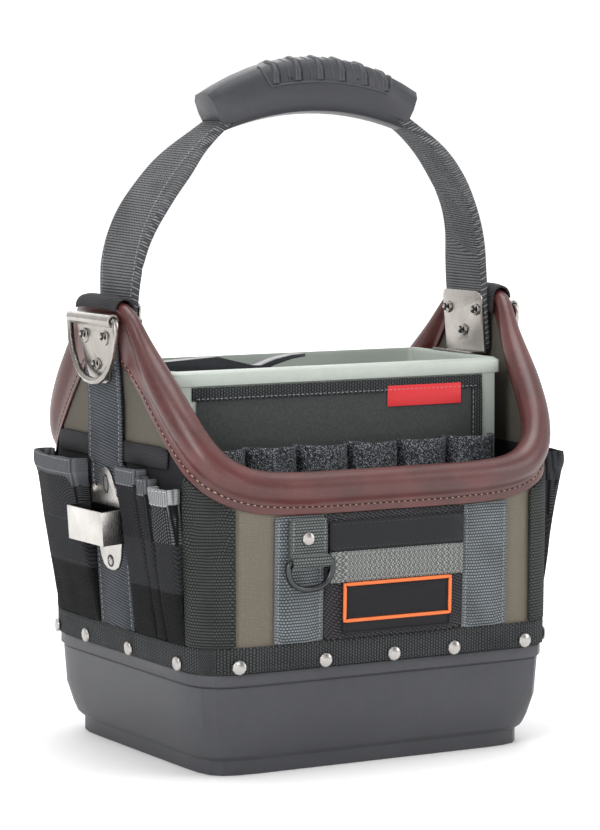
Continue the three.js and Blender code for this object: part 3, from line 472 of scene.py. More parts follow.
def leather(name, colour):
    """Waxed leather with pores and lighter, rubbed crowns."""
    f = Finish(name, colour, 0.36)
    pores = f.add("ShaderNodeTexVoronoi", feature="SMOOTH_F1")
    f.put(f.place, pores.inputs["Vector"])
    f.put(1100, pores.inputs["Scale"])
    drift = f.cloud(0.035, 0.0022)
    worn = f.group("edge", vector=f.place, start=0.54, full=0.66)
    light = (colour[0] * 1.6, colour[1] * 1.7, colour[2] * 1.6)
    base = f.mix(f.step(drift["Slow"], 0.35, 0.7), tinted(colour, 0.6), colour)
    base = f.over(base, f.step(drift["Fine"], 0.55, 0.8), 0.35, light)
    base = f.over(base, worn["Mask"], 0.5, light)
    f.set("Roughness", f.math("MULTIPLY_ADD", drift["Fine"], 0.22, 0.27))
    f.set("Coat Weight", 0.12)
    f.set("Coat Roughness", 0.22)
    skin = f.bump(pores.outputs["Distance"], 0.00012, 0.55)
    return f.done(base, f.bump(drift["Fine"], 0.0003, 0.35, skin))


def moulded(name, colour, roughness, grain, depth, edge_light=0.35, gloss=0.35):
    """Moulded plastic or rubber: fine grain, slow shade drift and edges rubbed lighter."""
    f = Finish(name, colour, roughness)
    drift = f.cloud(0.06, grain)
    worn = f.group("edge", vector=f.place, start=0.515, full=0.58)
    base = f.mix(f.step(drift["Slow"], 0.3, 0.75), tinted(colour, 0.9), colour)
    base = f.over(base, worn["Mask"], edge_light, tinted(colour, 1.45, 0.02))
    f.set("Roughness", f.math("MULTIPLY_ADD", drift["Fine"], 0.16, roughness - 0.08))
    f.set("Specular IOR Level", gloss)
    return f.done(base, f.bump(drift["Fine"], depth, 0.7))


def shaded_inside_mask(f, middle, low, high):
    """Mask of the faces that look towards a middle, between two heights, where painted shade goes."""
    toward = f.add("ShaderNodeVectorMath", operation="SUBTRACT")
    f.put(middle, toward.inputs[0])
    f.put(f.place, toward.inputs[1])
    inward = f.add("ShaderNodeVectorMath", operation="DOT_PRODUCT")
    f.put(f.add("ShaderNodeTexCoord").outputs["Normal"], inward.inputs[0])
    f.put(toward.outputs[0], inward.inputs[1])
    z = f.split(f.place)[2]
    inside = f.math("GREATER_THAN", inward.outputs["Value"], 0.001)
    inside = f.times(inside, f.math("GREATER_THAN", z, low))
    return f.times(inside, f.math("LESS_THAN", z, high))


def plated(name, colour, roughness, rubbed=0.2, hollow=None):
    """Bright plate with fine scratches and duller patches.

    hollow is the middle, low and high of an inside painted dark as shade.
    """
    f = Finish(name, colour, roughness, 1.0)
    stretch = f.add("ShaderNodeMapping")
    f.put(f.place, stretch.inputs["Vector"])
    f.put((1, 1, 0.12), stretch.inputs["Scale"])
    scratch = f.group("cloud", vector=stretch.outputs[0], size=0.02, speck=0.0006)
    drift = f.cloud(0.012, 0.003)
    worn = f.group("edge", vector=f.place, start=0.52, full=0.6)
    base = f.mix(f.step(drift["Slow"], 0.35, 0.7), tinted(colour, 0.88), colour)
    base = f.over(base, worn["Mask"], rubbed, (0.92, 0.9, 0.87))
    if hollow:
        # the inside of the hollow is painted near black, as shade
        base = f.mix(shaded_inside_mask(f, *hollow), base, (0.035, 0.034, 0.033))
    f.set("Roughness", f.math("MULTIPLY_ADD", scratch["Fine"], 0.12, roughness - 0.05))
    return f.done(base, f.bump(scratch["Fine"], 0.00003, 0.3))


def felt(name, colour):
    f = Finish(name, colour, 0.95)
    drift = f.cloud(0.02, 0.0012)
    fibre = f.cloud(0.003, 0.0004)
    base = f.mix(f.step(drift["Fine"], 0.35, 0.7), tinted(colour, 0.75), colour)
    base = f.over(base, f.step(fibre["Fine"], 0.5, 0.75), 0.4, tinted(colour, 1.7))
    sheen(f, 0.1, (0.5, 0.52, 0.52))
    return f.done(base, f.bump(fibre["Fine"], 0.0004, 0.6))


def thread(name, colour):
    f = Finish(name, colour, 0.7)
    drift = f.cloud(0.01, 0.0004)
    return f.done(f.mix(drift["Fine"], tinted(colour, 0.6), colour), f.bump(drift["Fine"], 0.0002, 0.6))


CANVAS = canvas(
    "taupe_canvas", (0.172, 0.152, 0.12), 0.001, 0.0001,
    end_tone=(0.06, 0.058, 0.05), below=(0.014, 0.014, 0.016))

# webbing: colour, rib pitch, 1 for level ribs or 0 for upright ones, lean, edge colour and where it starts
GREY_WEB = webbing("grey_webbing", (0.088, 0.098, 0.105), 0.0021, 1, 0, (0.15, 0.162, 0.17), 0.88)
TAB_WEB = webbing("tab_webbing", (0.062, 0.07, 0.068), 0.0021, 1, 0, (0.09, 0.098, 0.095), 0.9)
SIDE_WEB = webbing("side_webbing", (0.04, 0.044, 0.051), 0.0021, 1, 0.12, (0.1, 0.11, 0.12), 0.88)
HANDLE_WEB = webbing("handle_webbing", (0.07, 0.072, 0.076), 0.0019, 1, 0, (0.12, 0.124, 0.13), 0.84)
BLACK_WEB = webbing("black_webbing", (0.023, 0.022, 0.025), 0.0022, 1, 0.5)
BAND_WEB = webbing("band_webbing", (0.022, 0.024, 0.025), 0.0022, 0)
CORNER_WEB = webbing("corner_webbing", (0.021, 0.0235, 0.022), 0.0021, 1, depth=0.0006)
SMOOTH_BLACK = webbing("smooth_black_webbing", (0.018, 0.018, 0.02), 0.001, 1, depth=0.0002)
LOOP_WEB = salt_and_pepper("loop_webbing", 0.0014)
HERRINGBONE = herringbone("herringbone_band", (0.12, 0.125, 0.12), 0.0024)
LEATHER = leather("maroon_leather", (0.098, 0.025, 0.023))
FELT = felt("grey_felt", (0.05, 0.054, 0.054))

# plastic and rubber: colour, roughness, grain size, grain depth
TUB = moulded("tub_plastic", (0.05, 0.051, 0.058), 0.46, 0.0011, 0.00012)
GRIP = moulded("grip_plastic", (0.034, 0.035, 0.041), 0.42, 0.0009, 0.0001)
BOX = moulded("box_plastic", (0.42, 0.46, 0.42), 0.42, 0.004, 0.00008, 0.2)
CATCH = moulded("catch_plastic", (0.02, 0.022, 0.027), 0.32, 0.003, 0.00006, 0.6)
LABEL = moulded("label_rubber", (0.015, 0.016, 0.018), 0.6, 0.0008, 0.00015, 0.2, 0.2)
SEAM_SHADOW = moulded("seam_shadow", (0.03, 0.009, 0.008), 0.6, 0.0009, 0.00018, 0.1, 0.2)
BADGE = moulded("badge_rubber", (0.011, 0.011, 0.013), 0.6, 0.0009, 0.00018, 0.2, 0.2)
ORANGE = moulded("orange_frame", (0.74, 0.15, 0.035), 0.5, 0.0009, 0.0002, 0.3)
RED = moulded("red_rubber", (0.6, 0.022, 0.028), 0.45, 0.0012, 0.0001, 0.15)
# near black painted into rivet eyes, grip grooves, pinholes and the clip's slot, as the shade inside them
RECESS_SHADE = moulded("painted_recess_shade", (0.006, 0.006, 0.007), 0.6, 0.002, 0.00004, 0.1)

# metal: colour, roughness, share of rubbed edges
# middle, low and high of the clip's inside, which is painted dark as shade
CLIP_SHADED_INSIDE = ((-0.1615, 0, 0.166), 0.1535, 0.1782)
NICKEL = plated("worn_nickel", (0.35, 0.325, 0.3), 0.27)
CLIP_NICKEL = plated("clip_nickel", (0.5, 0.475, 0.45), 0.27, hollow=CLIP_SHADED_INSIDE)
CAP = plated("rivet_plate", (0.42, 0.4, 0.385), 0.27)
GUNMETAL = plated("dark_wire", (0.05, 0.053, 0.056), 0.3, 0.03)

TAN_THREAD = thread("tan_thread", (0.5, 0.36, 0.24))
GREY_THREAD = thread("grey_thread", (0.3, 0.31, 0.33))
BLACK_THREAD = thread("black_thread", (0.03, 0.03, 0.033))
PALE_THREAD = thread("pale_thread", (0.52, 0.52, 0.52))


# ---------------------------- working on meshes

WALL_HALF_LENGTH = 0.150
WALL_HALF_DEPTH = 0.126
MERGE = 1e-5


def wall_run(x, y):
    """How far round the wall a point lies, from the middle of the front, right positive."""
    if abs(y) * WALL_HALF_LENGTH >= abs(x) * WALL_HALF_DEPTH:
        if y < 0:
            return x
        return copysign(2 * (WALL_HALF_LENGTH + WALL_HALF_DEPTH), x) - x
    return copysign(WALL_HALF_LENGTH + WALL_HALF_DEPTH + y, x)


def strap_run(side):
    """Coordinates on a handle strap: across in Y and up along its slope."""
    along = Vector((-side * 0.42, 0, 0.907))

    def place(point):
        return point.y, point.dot(along)
    return place


def wrapped(obj, place=None):
    """Stores the cloth's own coordinates: run, rise, and share across from -1 to 1."""
    mesh = obj.data
    rows = []
    for vertex in mesh.vertices:
        if place:
            rows.append(place(vertex.co))
        else:
            rows.append((wall_run(vertex.co.x, vertex.co.y), vertex.co.z))
    rows = np.array(rows)
    low, high = rows[:, 0].min(), rows[:, 0].max()
    across = 2 * (rows[:, 0] - low) / max(high - low, 1e-6) - 1
    attribute = mesh.attributes.get("wrap") or mesh.attributes.new("wrap", "FLOAT_VECTOR", "POINT")
    attribute.data.foreach_set("vector", np.column_stack([rows, across]).astype(np.float32).ravel())


def only(obj):
    deselect()
    obj.select_set(True)
    bpy.context.view_layer.objects.active = obj


def basic(operator, **settings):
    """A new basic mesh at the origin."""
    deselect()
    operator(location=(0, 0, 0), **settings)
    return bpy.context.object


def edit_all(obj):
    """Opens a mesh for editing with all of it selected."""
    only(obj)
    bpy.ops.object.mode_set(mode="EDIT")
    bpy.ops.mesh.select_all(action="SELECT")


def belongs(obj, material, slot_name):
    """Gives a new piece of the tote its finish, and attaches it to the tote."""
    obj.data.materials.append(material)
    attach(obj, "tote")


def apply_all(obj):
    only(obj)
    for modifier in list(obj.modifiers):
        bpy.ops.object.modifier_apply(modifier=modifier.name)


def merged_copy(node, name):
    """A new object with the node's mesh, its loose triangles merged and paired into quads."""
    source = NODES[node]
    mesh = bpy.data.meshes.new(name)
    work = bmesh.new()
    work.from_mesh(source.data)
    bmesh.ops.remove_doubles(work, verts=work.verts, dist=MERGE)
    bmesh.ops.join_triangles(
        work, faces=work.faces, angle_face_threshold=radians(50),
        angle_shape_threshold=radians(60), cmp_seam=False, cmp_sharp=False, cmp_uvs=False,
    )
    work.to_mesh(mesh)
    work.free()
    return new_object(name, mesh)


def crease(obj, from_angle, weight):
    """Creases the edges that turn more than from_angle degrees, so that cloth keeps its cut edges."""
    mesh = obj.data
    work = bmesh.new()
    work.from_mesh(mesh)
    layer = work.edges.layers.float.get("crease_edge") or work.edges.layers.float.new("crease_edge")
    for edge in work.edges:
        if len(edge.link_faces) == 2 and edge.calc_face_angle(0) > radians(from_angle):
            edge[layer] = weight
    work.to_mesh(mesh)
    work.free()


def rumple(obj, size, depth, seed=0.0):
    """Moves the skin in and out by slow noise, as handled cloth or leather lies."""
    mesh = obj.data
    shift = Vector((seed, 1.7 * seed, -seed))
    normals = [v.normal.copy() for v in mesh.vertices]
    for vertex, normal in zip(mesh.vertices, normals):
        p = Vector([c / size for c in vertex.co]) + shift
        vertex.co += normal * (noise.noise(p) * depth)
    mesh.update()


def smooth(obj, angle=35):
    only(obj)
    bpy.ops.object.shade_smooth_by_angle(angle=radians(angle))


def cloth_piece(node, name, material, slot_name, levels=2, sharp=(45, 0.75), rough=None, place=None):
    """The soft piece that stands for a CAD node. sharp is the angle and weight of its creases."""
    obj = merged_copy(node, name)
    crease(obj, *sharp)
    wrapped(obj, place)
    if levels:
        obj.modifiers.new("round", "SUBSURF").levels = levels
        obj.modifiers["round"].render_levels = levels
    apply_all(obj)
    if rough:
        rumple(obj, *rough)
    smooth(obj, 50)
    belongs(obj, material, slot_name)
    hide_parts(node)
    return obj


def dress(node, material, bevel=0.0006, angle=28):
    """Gives a hard CAD node its finish, and softened edges."""
    obj = NODES[node]
    obj.data.materials.clear()
    obj.data.materials.append(material)
    for polygon in obj.data.polygons:
        polygon.use_smooth = True
    weld = obj.modifiers.new("weld", "WELD")
    weld.merge_threshold = MERGE
    flat = obj.modifiers.new("flat", "DECIMATE")
    flat.decimate_type = "DISSOLVE"
    flat.angle_limit = radians(1.5)
    if bevel:
        edge = obj.modifiers.new("edge", "BEVEL")
        edge.width = bevel
        edge.segments = 2
        edge.limit_method = "ANGLE"
        edge.angle_limit = radians(angle)
        edge.harden_normals = True


def skin_of(obj):
    """A tree of the object's faces for finding places on them."""
    points = [v.co.copy() for v in obj.data.vertices]
    return BVHTree.FromPolygons(points, [list(p.vertices) for p in obj.data.polygons])


def extent(obj):
    """The low and high corners of a mesh."""
    places = np.array([v.co for v in obj.data.vertices])
    return Vector(places.min(axis=0)), Vector(places.max(axis=0))


def new_piece(name, points, faces, material, slot_name, angle=40):
    mesh = bpy.data.meshes.new(name)
    mesh.from_pydata([tuple(p) for p in points], [], faces)
    mesh.update()
    obj = new_object(name, mesh)
    smooth(obj, angle)
    belongs(obj, material, slot_name)
    return obj


def one_stitch(length, radius):
    """A stitch as a small stretched ball, along X."""
    obj = basic(bpy.ops.mesh.primitive_uv_sphere_add, segments=6, ring_count=5, radius=radius)
    edit_all(obj)
    bpy.ops.transform.rotate(value=pi / 2, orient_axis="Y", center_override=(0, 0, 0))
    bpy.ops.transform.resize(value=(length / (2 * radius), 1, 0.8))
    leave_edit()
    points = [v.co.copy() for v in obj.data.vertices]
    faces = [list(p.vertices) for p in obj.data.polygons]
    bpy.data.objects.remove(obj)
    return points, faces


def stitches(name, rows, material, slot_name, length=0.0026, radius=0.00032, every=0.0038):
    """Rows of stitches. A row is a list of (point, normal) on the cloth, close together."""
    torn = 0.02
    shape, shape_faces = one_stitch(length, radius)
    points, faces = [], []
    for row in rows:
        left = every / 2
        for (p, n), (q, m) in zip(row, row[1:]):
            gap = (q - p).length
            if gap < 1e-7 or gap > torn:
                continue
            while left <= gap:
                t = left / gap
                middle = p.lerp(q, t)
                up = n.lerp(m, t).normalized()
                along = (q - p).normalized()
                side = up.cross(along).normalized()
                turn = Matrix((along, side, along.cross(side))).transposed()
                start = len(points)
                points += [middle + turn @ v for v in shape]
                faces += [[start + i for i in face] for face in shape_faces]
                left += every
            left -= gap
    new_piece(name, points, faces, material, slot_name)


def piping(name, path, radius, material, slot_name, sides=8, closed=False, sink=0.4):
    """A round bead along (point, normal) places, part sunk in what it lies on."""
    points, faces = [], []
    count = len(path)
    for i, (p, n) in enumerate(path):
        before = path[(i - 1) % count if closed else max(i - 1, 0)][0]
        after = path[(i + 1) % count if closed else min(i + 1, count - 1)][0]
        along = (after - before).normalized()
        side = n.cross(along).normalized()
        up = along.cross(side).normalized()
        middle = p + up * radius * (1 - 2 * sink)
        for k in range(sides):
            a = 2 * pi * k / sides
            points.append(middle + (side * cos(a) + up * sin(a)) * radius)
    for i in range(count if closed else count - 1):
        j = (i + 1) % count
        for k in range(sides):
            m = (k + 1) % sides
            faces.append([i * sides + k, j * sides + k, j * sides + m, i * sides + m])
    if not closed:
        faces.append(list(range(sides)))
        faces.append([(count - 1) * sides + k for k in reversed(range(sides))])
    edit_all(new_piece(name, points, faces, material, slot_name, 60))
    bpy.ops.mesh.normals_make_consistent(inside=False)
    leave_edit()


def hit(skin, start, direction, reach=1.0):
    """The (point, normal) that a ray first meets, its normal turned to where the ray came from."""
    place, normal, _, _ = skin.ray_cast(Vector(start), Vector(direction), reach)
    if place is None:
        return None
    if normal.dot(Vector(direction)) > 0:
        normal = -normal
    return place, normal


def met(row):
    """The places of a row that a ray met."""
    return [found for found in row if found]


def cast_row(skin, starts, direction, reach=1.0):
    """Places on a skin below a row of points, seen along one direction."""
    return met(hit(skin, start, direction, reach) for start in starts)


def round_wall(steps, fullness):
    """Places outside the wall all the way round, at even angles, with the way in to it."""
    clear = 0.04
    ring = []
    for i in range(steps + 1):
        angle = 2 * pi * i / steps
        c, s = cos(angle) / WALL_HALF_LENGTH, sin(angle) / WALL_HALF_DEPTH
        away = (abs(c) ** fullness + abs(s) ** fullness) ** (-1 / fullness)
        x, y = away * cos(angle), away * sin(angle)
        normal = Vector((
            copysign(abs(x / WALL_HALF_LENGTH) ** (fullness - 1) / WALL_HALF_LENGTH, x),
            copysign(abs(y / WALL_HALF_DEPTH) ** (fullness - 1) / WALL_HALF_DEPTH, y), 0,
        )).normalized()
        ring.append((Vector((x, y, 0)) + normal * clear, -normal))
    return ring


def line(a, b, step=0.002):
    """Even points from a to b, about a step apart."""
    a, b = Vector(a), Vector(b)
    count = max(2, int((b - a).length / step) + 1)
    return [a.lerp(b, i / (count - 1)) for i in range(count)]


# the way a ray goes when it comes from each side
FRONT, BACK = (0, 1, 0), (0, -1, 0)
LEFT, RIGHT = (1, 0, 0), (-1, 0, 0)
FAR = 0.3


# ---------------------------- hard pieces


def hard_pieces():
    dress("base_tub", TUB, 0.0009)
    dress("handle_grip", GRIP, 0.0008, 35)
    dress("centre_box", BOX, 0.0012)
    dress("box_catch", CATCH, 0.0005)
    dress("red_tag", RED, 0.0004)
    dress("tape_clip", CLIP_NICKEL, 0.0004)
    dress("front_ring", GUNMETAL, 0.0)
    for node in NODES:
        if node.startswith(("band_rivet", "ring_rivet")):
            dress(node, CAP, 0.0004)
        elif node.startswith(("ring_plate", "inner_plate", "end_ring")):
            dress(node, NICKEL, 0.0004)


# ---------------------------- cloth and leather

pieces = {}


def end_pieces(side):
    """The straps, collar and peak wrap of one end, in the same columns as soft_pieces."""
    run = strap_run(-1 if side == "left" else 1)
    wanted = (
        ("upright_", "front_webbing_", "front_upright_", GREY_WEB, "grey_webbing", 1),
        ("side_", "side_strap_", "end_strap_", SIDE_WEB, "grey_webbing", 0),
        ("collar_", "collar_band_", "end_collar_", SMOOTH_BLACK, "black_webbing", 1),
        ("handle_", "handle_strap_", "carry_strap_", HANDLE_WEB, "handle_webbing", 2,
         (45, 0.8), (0.03, 0.0006), run),
        ("peak_", "peak_loop_", "peak_wrap_", SMOOTH_BLACK, "black_webbing", 2, (50, 0.6)),
    )
    for key, node, name, *rest in wanted:
        pieces[key + side] = cloth_piece(node + side, name + side, *rest)


def pockets(side):
    """The large pocket and the three slim ones. The bindings on the left end, which faces the light, are
    painted paler as lit, and those on the right end darker as shaded.
    """
    pale, grey, dark = (0.22, 0.225, 0.23), (0.085, 0.09, 0.097), (0.03, 0.032, 0.035)
    # grey is the binding painted as lit on the left end, dark the same binding painted as shaded on the
    # right end
    tone = grey if side == "left" else dark
    wide, faint, bright = (0.055, 0.057, 0.062), (0.03, 0.031, 0.035), (0.1, 0.105, 0.11)
    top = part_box("large_pocket_" + side)[1].z
    cloth = pocket_cloth("wide_pocket_cloth_" + side, top, 0.013, 0.164, 0.131, wide, tone)
    pieces["wide_" + side] = cloth_piece(
        "large_pocket_" + side, "wide_pocket_" + side, cloth, "black_cloth", 2, (50, 0.7), (0.022, 0.0014))
    for i in (1, 2, 3):
        tag = "%d_%s" % (i, side)
        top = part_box("slim_pocket_" + tag)[1].z
        bound = pale if tag == "3_left" else tone
        ribs = bright if i == 3 else faint
        cloth = pocket_cloth("narrow_pocket_cloth_" + tag, top, 0.012, 0.162, 0.128, ribs, bound)
        pieces["slim_" + tag] = cloth_piece(
            "slim_pocket_" + tag, "narrow_pocket_" + tag, cloth, "black_cloth", 2,
            (50, 0.7), (0.018, 0.0012, i))


def make(listed):
    for key, *wanted in listed:
        pieces[key] = cloth_piece(*wanted)


def soft_pieces():
    """Key, node, piece, finish, slot, and then the rounding, creases, rumple and run of each."""
    first = (
        ("body", "body_shell", "canvas_body", CANVAS, "taupe_canvas", 0),
        ("rim", "leather_rim", "leather_roll", LEATHER, "leather", 2, (60, 0.3), (0.03, 0.0002)),
        ("band", "rivet_band", "foot_band", BAND_WEB, "black_webbing", 1),
    )
    front = (
        ("middle", "centre_panel", "front_middle_panel", BLACK_WEB, "black_cloth", 1),
        ("label", "label_plate", "bare_label", LABEL, "label", 1),
        ("light", "grey_band", "herringbone_band", HERRINGBONE, "grey_webbing", 1),
        ("patch", "framed_patch", "bare_badge", BADGE, "patch", 1),
    )
    last = (
        ("ring_strap", "ring_strap", "ring_tab", TAB_WEB, "grey_webbing", 2, (45, 0.8)),
        ("felt", "felt_panel", "felt_lining", FELT, "felt", 1),
        ("loops", "tool_loops", "webbing_loops", LOOP_WEB, "loop_webbing", 2, (50, 0.7), (0.012, 0.0009),
         lambda p: (p.x, p.z)),
    )
    make(first)
    for side in ("left", "right"):
        end_pieces(side)
    make(front)
    for corner in ("front_left", "front_right", "back_right", "back_left"):
        node, name = "corner_webbing_" + corner, "ribbed_corner_" + corner
        pieces["corner_" + corner] = cloth_piece(node, name, CORNER_WEB, "black_webbing", 1)
    make(last)
    for side in ("left", "right"):
        pockets(side)


# ---------------------------- sewing and trim


def rim_seam():
    """Tan stitches in a groove, drawn as a dark bead of painted shadow, a little above the leather's lower
    edge, all the way round.
    """
    lowest, highest, climb, inset, reach = 0.17, 0.305, 0.0008, 0.005, 0.075
    neighbours = 7
    skin = skin_of(pieces["rim"])
    edge = []
    for out, inward in round_wall(720, 4.5):
        height = lowest
        while height < highest and not hit(skin, out + Vector((0, 0, height)), inward, reach):
            height += climb
        edge.append((out, inward, height))
    row = []
    for i, (out, inward, _) in enumerate(edge):
        near = [edge[(i + k) % (len(edge) - 1)][2] for k in range(-neighbours, neighbours + 1)]
        height = sum(near) / len(near) + inset
        row.append(hit(skin, out + Vector((0, 0, height)), inward, reach))
    row = met(row)
    # the groove is a dark bead sunk in the leather, painted shadow
    piping("rim_seam_groove", row[::3], 0.00065, SEAM_SHADOW, "leather", closed=True, sink=0.75)
    stitches("rim_stitches", [row], TAN_THREAD, "leather", 0.0034, 0.00048, 0.0049)


def front_seams():
    """Upright rows near both edges of the webbing, and level rows on the label, the band and the panel."""
    grey, black = [], []
    for key in ("upright_left", "upright_right"):
        skin = skin_of(pieces[key])
        low, high = extent(pieces[key])
        for x in (low.x + 0.003, high.x - 0.003):
            grey.append(cast_row(skin, line((x, -FAR, low.z + 0.002), (x, -FAR, high.z - 0.002)), FRONT))
    for key, inset, rows in (("label", 0.0022, black), ("light", 0.002, grey), ("middle", 0.003, black)):
        skin = skin_of(pieces[key])
        low, high = extent(pieces[key])
        for z in (low.z + inset, high.z - inset):
            rows.append(cast_row(skin, line((low.x + inset, -FAR, z), (high.x - inset, -FAR, z)), FRONT))
    skin = skin_of(pieces["ring_strap"])
    low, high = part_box("ring_strap")
    for x in (low.x + 0.003, high.x - 0.003):
        grey.append(cast_row(skin, line((x, -FAR, low.z + 0.012), (x, -FAR, high.z - 0.002)), FRONT))
    stitches("front_webbing_stitches", grey, GREY_THREAD, "grey_webbing", every=0.0036)
    stitches("front_black_stitches", black, BLACK_THREAD, "black_webbing", every=0.0036)


def badge_frame():
    """The orange frame on the bare badge, and the fine lines inside it and round its foot."""
    skin = skin_of(pieces["patch"])
    low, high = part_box("framed_patch")
    frames = (
        # name, inset at the sides, foot, head, bead radius, finish
        ("badge_frame", 0.0011, high.z - 0.0265, high.z - 0.0012, 0.0013, ORANGE),
        ("badge_inner_line", 0.0034, high.z - 0.0243, high.z - 0.0035, 0.00035, LABEL),
        ("badge_foot_line", 0.0012, low.z + 0.0012, high.z - 0.0282, 0.0004, LABEL),
    )
    for name, inset, foot, head, radius, material in frames:
        left, right = low.x + inset, high.x - inset
        corners = [(left, foot), (right, foot), (right, head), (left, head), (left, foot)]
        starts = []
        for (x, z), (next_x, next_z) in zip(corners, corners[1:]):
            starts += line((x, -FAR, z), (next_x, -FAR, next_z), 0.003)[:-1]
        piping(name, cast_row(skin, starts, FRONT), radius, material, "patch", closed=True, sink=0.35)


def band_seams():
    skin = skin_of(pieces["band"])
    wall = round_wall(720, 9)
    rows = []
    for z in (0.0768, 0.0878):
        rows.append(met(hit(skin, out + Vector((0, 0, z)), inward, 0.09) for out, inward in wall))
    stitches("band_stitches", rows, BLACK_THREAD, "black_webbing", 0.0028, 0.00036, 0.0042)


def side_seams():
    """Both edges of each end's strap, and the bindings and seams of its pockets."""
    strap_edge, strap_foot = 0.0222, 0.093
    grey, pale, black = [], [], []
    for side, direction, start in (("left", LEFT, -FAR), ("right", RIGHT, FAR)):
        skin = skin_of(pieces["side_" + side])
        for y in (-strap_edge, strap_edge):
            grey.append(cast_row(skin, line((start, y, strap_foot), (start, y, FAR)), direction))
        for key in ("wide_" + side, "slim_1_" + side, "slim_2_" + side, "slim_3_" + side):
            skin = skin_of(pieces[key])
            low, high = extent(pieces[key])
            bound = pale if key == "slim_3_left" else grey
            heights = [(high.z - 0.0118, bound), (high.z - 0.0022, bound)]
            if key.startswith("wide"):
                heights += [(0.1325, black), (0.1635, black)]
            for z, rows in heights:
                ends = (start, low.y + 0.002, z), (start, high.y - 0.002, z)
                rows.append(cast_row(skin, line(*ends), direction))
    stitches("end_stitches", grey, GREY_THREAD, "black_webbing")
    stitches("dark_pocket_stitches", black, BLACK_THREAD, "black_webbing")
    stitches("pale_pocket_stitches", pale, PALE_THREAD, "black_webbing", radius=0.00036)


def handle_seams():
    """A row near each edge of both straps. The straps drift to the front as they rise."""
    foot, head, count = 0.279, 0.448, 160
    half_width, edge_share, drift = 0.0254, 0.87, 0.0065
    rows = []
    for side, sign in (("left", -1), ("right", 1)):
        skin = skin_of(pieces["handle_" + side])
        for share in (-edge_share, edge_share):
            starts = []
            for i in range(count):
                z = foot + (head - foot) * i / (count - 1)
                middle = -drift * max(0, (z - 0.30) / 0.15)
                starts.append((sign * FAR, middle + share * half_width, z))
            rows.append(cast_row(skin, starts, (-sign, 0, 0), 0.4))
    stitches("handle_stitches", rows, GREY_THREAD, "handle_webbing", radius=0.00034)


def slab(low, high, bevel):
    """A plate added as a cube at its size and place, with its edges rounded."""
    obj = basic(bpy.ops.mesh.primitive_cube_add, size=1)
    edit_all(obj)
    bpy.ops.transform.resize(value=[b - a for a, b in zip(low, high)])
    bpy.ops.transform.translate(value=[(a + b) / 2 for a, b in zip(low, high)])
    bpy.ops.mesh.bevel(offset=bevel, segments=3, affect="EDGES")
    leave_edit()
    return obj


def finished(obj, name, material, slot_name, angle=40):
    obj.name = name
    obj.data.name = name
    smooth(obj, angle)
    belongs(obj, material, slot_name)


def felt_trim():
    """Black binding tape with stitches along the felt's top and right edge."""
    low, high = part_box("felt_panel")
    tape, thick, over, seat = 0.009, 0.0009, 0.0002, low.y - 0.0001
    bars = (
        ("felt_top_tape", (low.x, seat - thick, high.z - tape), (high.x, seat, high.z + over)),
        ("felt_right_tape",
         (high.x - tape, seat - thick * 0.96, low.z), (high.x + over, seat, high.z - tape)),
    )
    for name, a, b in bars:
        tape_piece = slab(a, b, 0.0003)
        wrapped(tape_piece, lambda p: (p.x, p.z))
        finished(tape_piece, name, BAND_WEB, "black_webbing")
    y, inset = seat - thick, 0.0075
    top = line((low.x + 0.003, y, high.z - inset), (high.x - 0.003, y, high.z - inset))
    edge = line((high.x - inset, y, low.z + 0.09), (high.x - inset, y, high.z - 0.009))
    rows = [[(p, Vector((0, -1, 0))) for p in row] for row in (top, edge)]
    stitches("felt_stitches", rows, GREY_THREAD, "felt", 0.0024, 0.0003, 0.0036)


# ---------------------------- metal details

# across and up, on the ring plates and on the inner plates
PLATE_RIVETS = ((-0.016, 0.298), (0.016, 0.298), (0, 0.278))
INNER_RIVETS = ((-0.019, 0.3075), (0.019, 0.3075), (0, 0.2915))


def set_on(obj, place, normal):
    """Moves a mesh made at the origin so that its Z stands on a surface."""
    turn = Vector(normal).to_track_quat("Z", "Y").to_matrix().to_4x4()
    obj.data.transform(Matrix.Translation(place) @ turn)


def button(name, place, normal, radius, tall, material, slot_name, stretch=1.0):
    """A flattened ball set on a surface: a rivet's crown, its eye painted dark as shade, or its bright
    tip.
    """
    obj = basic(bpy.ops.mesh.primitive_uv_sphere_add, segments=24, ring_count=12, radius=1)
    edit_all(obj)
    bpy.ops.transform.resize(value=(radius * stretch, radius, tall))
    leave_edit()
    set_on(obj, place, normal)
    finished(obj, name, material, slot_name)


def collar_ring(name, place, normal, radius, thick, material, stretch=1.0):
    """A round bead standing on a surface."""
    obj = basic(
        bpy.ops.mesh.primitive_torus_add,
        major_radius=radius, minor_radius=thick, major_segments=28, minor_segments=8)
    obj.data.transform(Matrix.Scale(stretch, 4, (0, 1, 0)))
    set_on(obj, place, normal)
    finished(obj, name, material, "nickel", angle=60)


def plate_rivets():
    """Each plate rivet has a rolled collar, an eye painted dark as shade and a bright tip."""
    tip_shift = Vector((0, 0.0008, 0.0002))
    for side, sign in (("left", -1), ("right", 1)):
        outer = skin_of(NODES["ring_plate_" + side])
        inner = skin_of(NODES["inner_plate_" + side])
        jobs = [("outer", outer, (sign * FAR, y, z), (-sign, 0, 0)) for y, z in PLATE_RIVETS]
        jobs += [("inner", inner, (0, y, z), (sign, 0, 0)) for y, z in INNER_RIVETS]
        for i, (kind, skin, start, way) in enumerate(jobs):
            place, normal = hit(skin, start, way)
            normal = (normal - 1.5 * Vector(way)).normalized()
            tag = "%s_plate_rivet_%s_%d" % (kind, side, i + 1)
            collar_ring(tag + "_collar", place - normal * 0.0008, normal, 0.0037, 0.0006, NICKEL)
            # the eye is a near-black disc, painted shade in the rivet's hole
            button(tag + "_eye", place + normal * 0.0016, normal, 0.0028, 0.0006, RECESS_SHADE, "gunmetal")
            tip = place + normal * 0.002 + tip_shift
            button(tag + "_tip", tip, normal, 0.0014, 0.0006, CAP, "nickel", 1.3)


